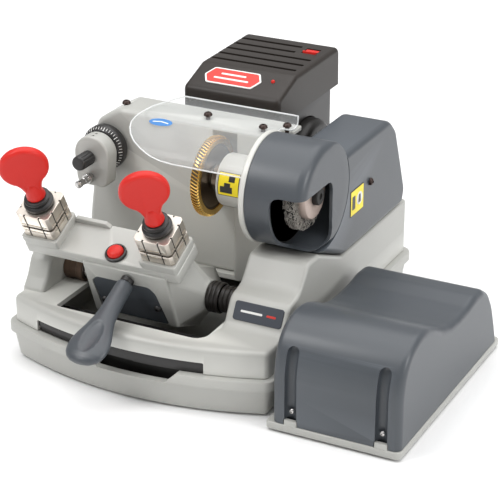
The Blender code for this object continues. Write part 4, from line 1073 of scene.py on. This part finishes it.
# Oval sections along the lever, widths and heights from a smooth table, with a shallow oval dish in the top.
def leverGrip():
    stations = np.array(gripShape["sections"])
    keys = np.linspace(0, len(stations) - 1, 110)
    index = np.arange(len(stations))
    reach, wide, tall = (np.interp(keys, index, stations[:, c]) for c in range(3))
    for _ in range(3):
        wide[1:-1] = (wide[:-2] + 2 * wide[1:-1] + wide[2:]) / 4
        tall[1:-1] = (tall[:-2] + 2 * tall[1:-1] + tall[2:]) / 4
    t = np.linspace(0, 2 * math.pi, 72, endpoint=False)
    rings = []
    for r, w, h in zip(reach, wide, tall):
        x, z = w * np.cos(t), h * np.sin(t)
        fall = np.clip(1 - ((x - 1) / 8.0) ** 2 - ((r - 100) / 17.0) ** 2, 0, 1)
        z = z - np.where(z > 0, gripShape["dishDepth"] * fall ** 0.55, 0)
        rings.append(tilted(np.stack([-85 + x, np.full(72, -r), 41.5 + z], 1)))
    return stack("lever_grip_skin", rings, smooth=60)


wear(leverGrip(), "lever_grip")
print("stage: carriage")

jawShape = {"half": 17.0, "clip": 2.6, "groove": 7.5, "grooveWidth": 0.75, "grooveDepth": 1.8}


# Clamps.
# Square with clipped corners and two narrow key grooves a side.
def jawLine(x):
    half, clip, groove = jawShape["half"], jawShape["clip"], jawShape["groove"]
    width, depth = jawShape["grooveWidth"], jawShape["grooveDepth"]
    side = [(-half + clip, -half)]
    for g in (-groove, groove):
        side += [(g - width, -half), (g - width, -half + depth), (g + width, -half + depth), (g + width, -half)]
    side += [(half - clip, -half)]
    points = []
    for c, s in ((1, 0), (0, 1), (-1, 0), (0, -1)):
        points += [(x + c * u - s * v, -7.5 + s * u + c * v) for u, v in side]
    return np.array(points)


# Painted shade: near-black bars at the bottoms of the key grooves, so that they read as deep slots.
def grooveShade(name, x, low, high, node):
    points, faces = [], []
    for c, s in ((1, 0), (0, 1), (-1, 0), (0, -1)):
        for g in (-7.5, 7.5):
            start = len(points)
            for z in (low, high):
                for u, v in ((g - 0.8, -16.6), (g + 0.8, -16.6), (g + 0.8, -15.1), (g - 0.8, -15.1)):
                    points.append((x + c * u - s * v, -7.5 + s * u + c * v, z))
            faces += [[start + i for i in face] for face in
                      ((0, 1, 2, 3), (7, 6, 5, 4), (0, 4, 5, 1), (1, 5, 6, 2), (2, 6, 7, 3), (3, 7, 4, 0))]
    return wear(meshFrom(name, place(tilted(np.array(points))), faces), None, extra["hollow"], bodyOf[node])


clampShape = {
    "places": (("left", -172, 34), ("right", -52, 30)),
    "base": (66.3, 76.8),
    "jaw": (79.0, 93.2),
    "collar": [(5.3, 103.5), (9.6, 103.5), (11, 103.1), (11.8, 102.2), (11.8, 100.4), (11.2, 99.4),
               (10.6, 98.9), (11.2, 98.4), (12.8, 97.9), (13.5, 97), (13.5, 95), (12.8, 93.9), (11.6, 93.5),
               (5.3, 93.5)],
    "stem": [(0.01, 121), (3, 120.8), (5.2, 119.6), (6.6, 117), (7.4, 113), (8.4, 107), (8.8, 104.4),
             (8.5, 103.9), (0.01, 103.9)],
    "knobRadius": 21.8,
}
for side, x, yaw in clampShape["places"]:
    bottom = slab(f"clamp_base_{side}_skin", jawLine(x), *clampShape["base"], "Z", 0.35, 2, tilted)
    combine(bottom, lathe("tool", [(0.01, 110.8), (4.4, 110.8), (5, 110.2), (5, 60), (5, 52), (0.01, 52)],
            (x, -7.5, 0), "Z", 48, tilted), "UNION")
    for c, s in ((1, 0), (0, 1), (-1, 0), (0, -1)):
        lip = [np.array([x, -7.5]) + np.array([c * u - s * v, s * u + c * v])
               for u, v in ((-12, -17.5), (12, -17.5), (12, -15.4), (-12, -15.4))]
        combine(bottom, slab("tool", np.array(lip), 73.2, 74.2, "Z", 0.05, 1, tilted))
    grooveShade(f"clamp_base_{side}_groove_shade", x, 66.8, 76.4, f"clamp_base_{side}")
    wear(soften(bottom, 0.22, 2), f"clamp_base_{side}")
    top = slab(f"clamp_jaw_{side}_skin", jawLine(x), *clampShape["jaw"], "Z", 0.5, 3, tilted)
    combine(top, lathe("tool", [(5.3, 100), (5.3, 70)], (x, -7.5, 0), "Z", 48, tilted))
    for c, s in ((1, 0), (0, 1), (-1, 0), (0, -1)):
        lip = [np.array([x, -7.5]) + np.array([c * u - s * v, s * u + c * v])
               for u, v in ((-13, -18), (13, -18), (13, -15.6), (-13, -15.6))]
        combine(top, slab("tool", np.array(lip), 81.4, 82.4, "Z", 0.05, 1, tilted))
    grooveShade(f"clamp_jaw_{side}_groove_shade", x, 79.6, 92.7, f"clamp_jaw_{side}")
    wear(soften(top, 0.22, 2), f"clamp_jaw_{side}")
    ring = lathe(f"clamp_collar_{side}_skin", clampShape["collar"], (x, -7.5, 0), "Z", 72, tilted)
    combine(ring, lathe("tool", [(5.3, 110), (5.3, 80)], (x, -7.5, 0), "Z", 48, tilted))
    wear(ring, f"clamp_collar_{side}")

    # Turned about the clamp's own axis, then leaned with the carriage.
    def knobTurn(points, x=x, yaw=yaw):
        px, py, pz = np.asarray(points, float).T
        c, s = math.cos(math.radians(yaw)), math.sin(math.radians(yaw))
        u, v = px - x, py + 7.5
        return tilted(np.stack([x + u * c - v * s, -7.5 + u * s + v * c, pz], 1))

    wingOutline = np.vstack([[(-7.2, 107), (7.2, 107), (7.8, 113), (9.6, 118.6)],
                             arc(0, 141, clampShape["knobRadius"], -56, 236, 60),
                             [(-9.6, 118.6), (-7.8, 113)]]) + np.array([x, 0])
    knob = slab(f"clamp_knob_{side}_skin", rounded(wingOutline, [0.5, 0.5, 8, 8] + [0] * 61 + [8, 8], 4), -12.1,
                -2.9, "Y", 3.6, 7, knobTurn)
    stem = lathe("tool", clampShape["stem"], (x, -7.5, 0), "Z", 64, knobTurn)
    combine(knob, stem, "UNION")
    combine(knob, lathe("tool", [(5.3, 113), (5.3, 100)], (x, -7.5, 0), "Z", 48, knobTurn))
    wear(soften(knob, 1.2, 3, 40), f"clamp_knob_{side}")
print("stage: clamps")

# Light, floor and camera.
scene = bpy.context.scene
scene.view_settings.view_transform = "Standard"
world = bpy.data.worlds.new("studio")
scene.world = world
world.use_nodes = True
world.node_tree.nodes["Background"].inputs["Color"].default_value = (1, 1, 1, 1)
world.node_tree.nodes["Background"].inputs["Strength"].default_value = 0.45
floorMesh = bpy.data.meshes.new("floor")
floorMesh.from_pydata([(-6, -6, 0), (6, -6, 0), (6, 6, 0), (-6, 6, 0)], [], [(0, 1, 2, 3)])
floor = bpy.data.objects.new("floor", floorMesh)
scene.collection.objects.link(floor)
floor.data.materials.append(finish("floorPaper", (0.90, 0.90, 0.90), 0.85, relief=0.0, spread=0.01, edge=0.0,
                            specular=0.1))


def area(name, spot, aim, size, power, colour=(1, 1, 1)):
    lamp = bpy.data.lights.new(name, "AREA")
    lamp.shape, lamp.size, lamp.energy, lamp.color = "DISK", size, power, colour
    obj = bpy.data.objects.new(name, lamp)
    obj.location = spot
    obj.rotation_euler = (Vector(spot) - Vector(aim)).to_track_quat("Z", "Y").to_euler()
    scene.collection.objects.link(obj)


middle = (0.0, 0.0, 0.12)
lightShape = {"sky": 75, "key": 14, "side": 14}
area("sky", (0.2, 0.5, 2.4), (0.2, 0.5, 0.0), 3.8, lightShape["sky"])
area("key", (-0.9, -1.1, 1.6), middle, 0.8, lightShape["key"])
area("side", (1.9, -0.2, 1.0), middle, 0.9, lightShape["side"])

cameraShape = {"lens": 132.8, "sensor": 36, "azimuth": 27.0, "elevation": 24.4, "distance": 1.603}
cameraData = bpy.data.cameras.new("camera")
cameraData.lens, cameraData.sensor_width = cameraShape["lens"], cameraShape["sensor"]
camera = bpy.data.objects.new("camera", cameraData)
azimuth, elevation = math.radians(cameraShape["azimuth"]), math.radians(cameraShape["elevation"])
back = Vector((math.sin(azimuth) * math.cos(elevation), -math.cos(azimuth) * math.cos(elevation),
              math.sin(elevation)))
target = Vector(place([(12.0, -35.0, 125.0)])[0])
camera.location = target + cameraShape["distance"] * back
camera.rotation_euler = back.to_track_quat("Z", "Y").to_euler()
scene.collection.objects.link(camera)
scene.camera = camera
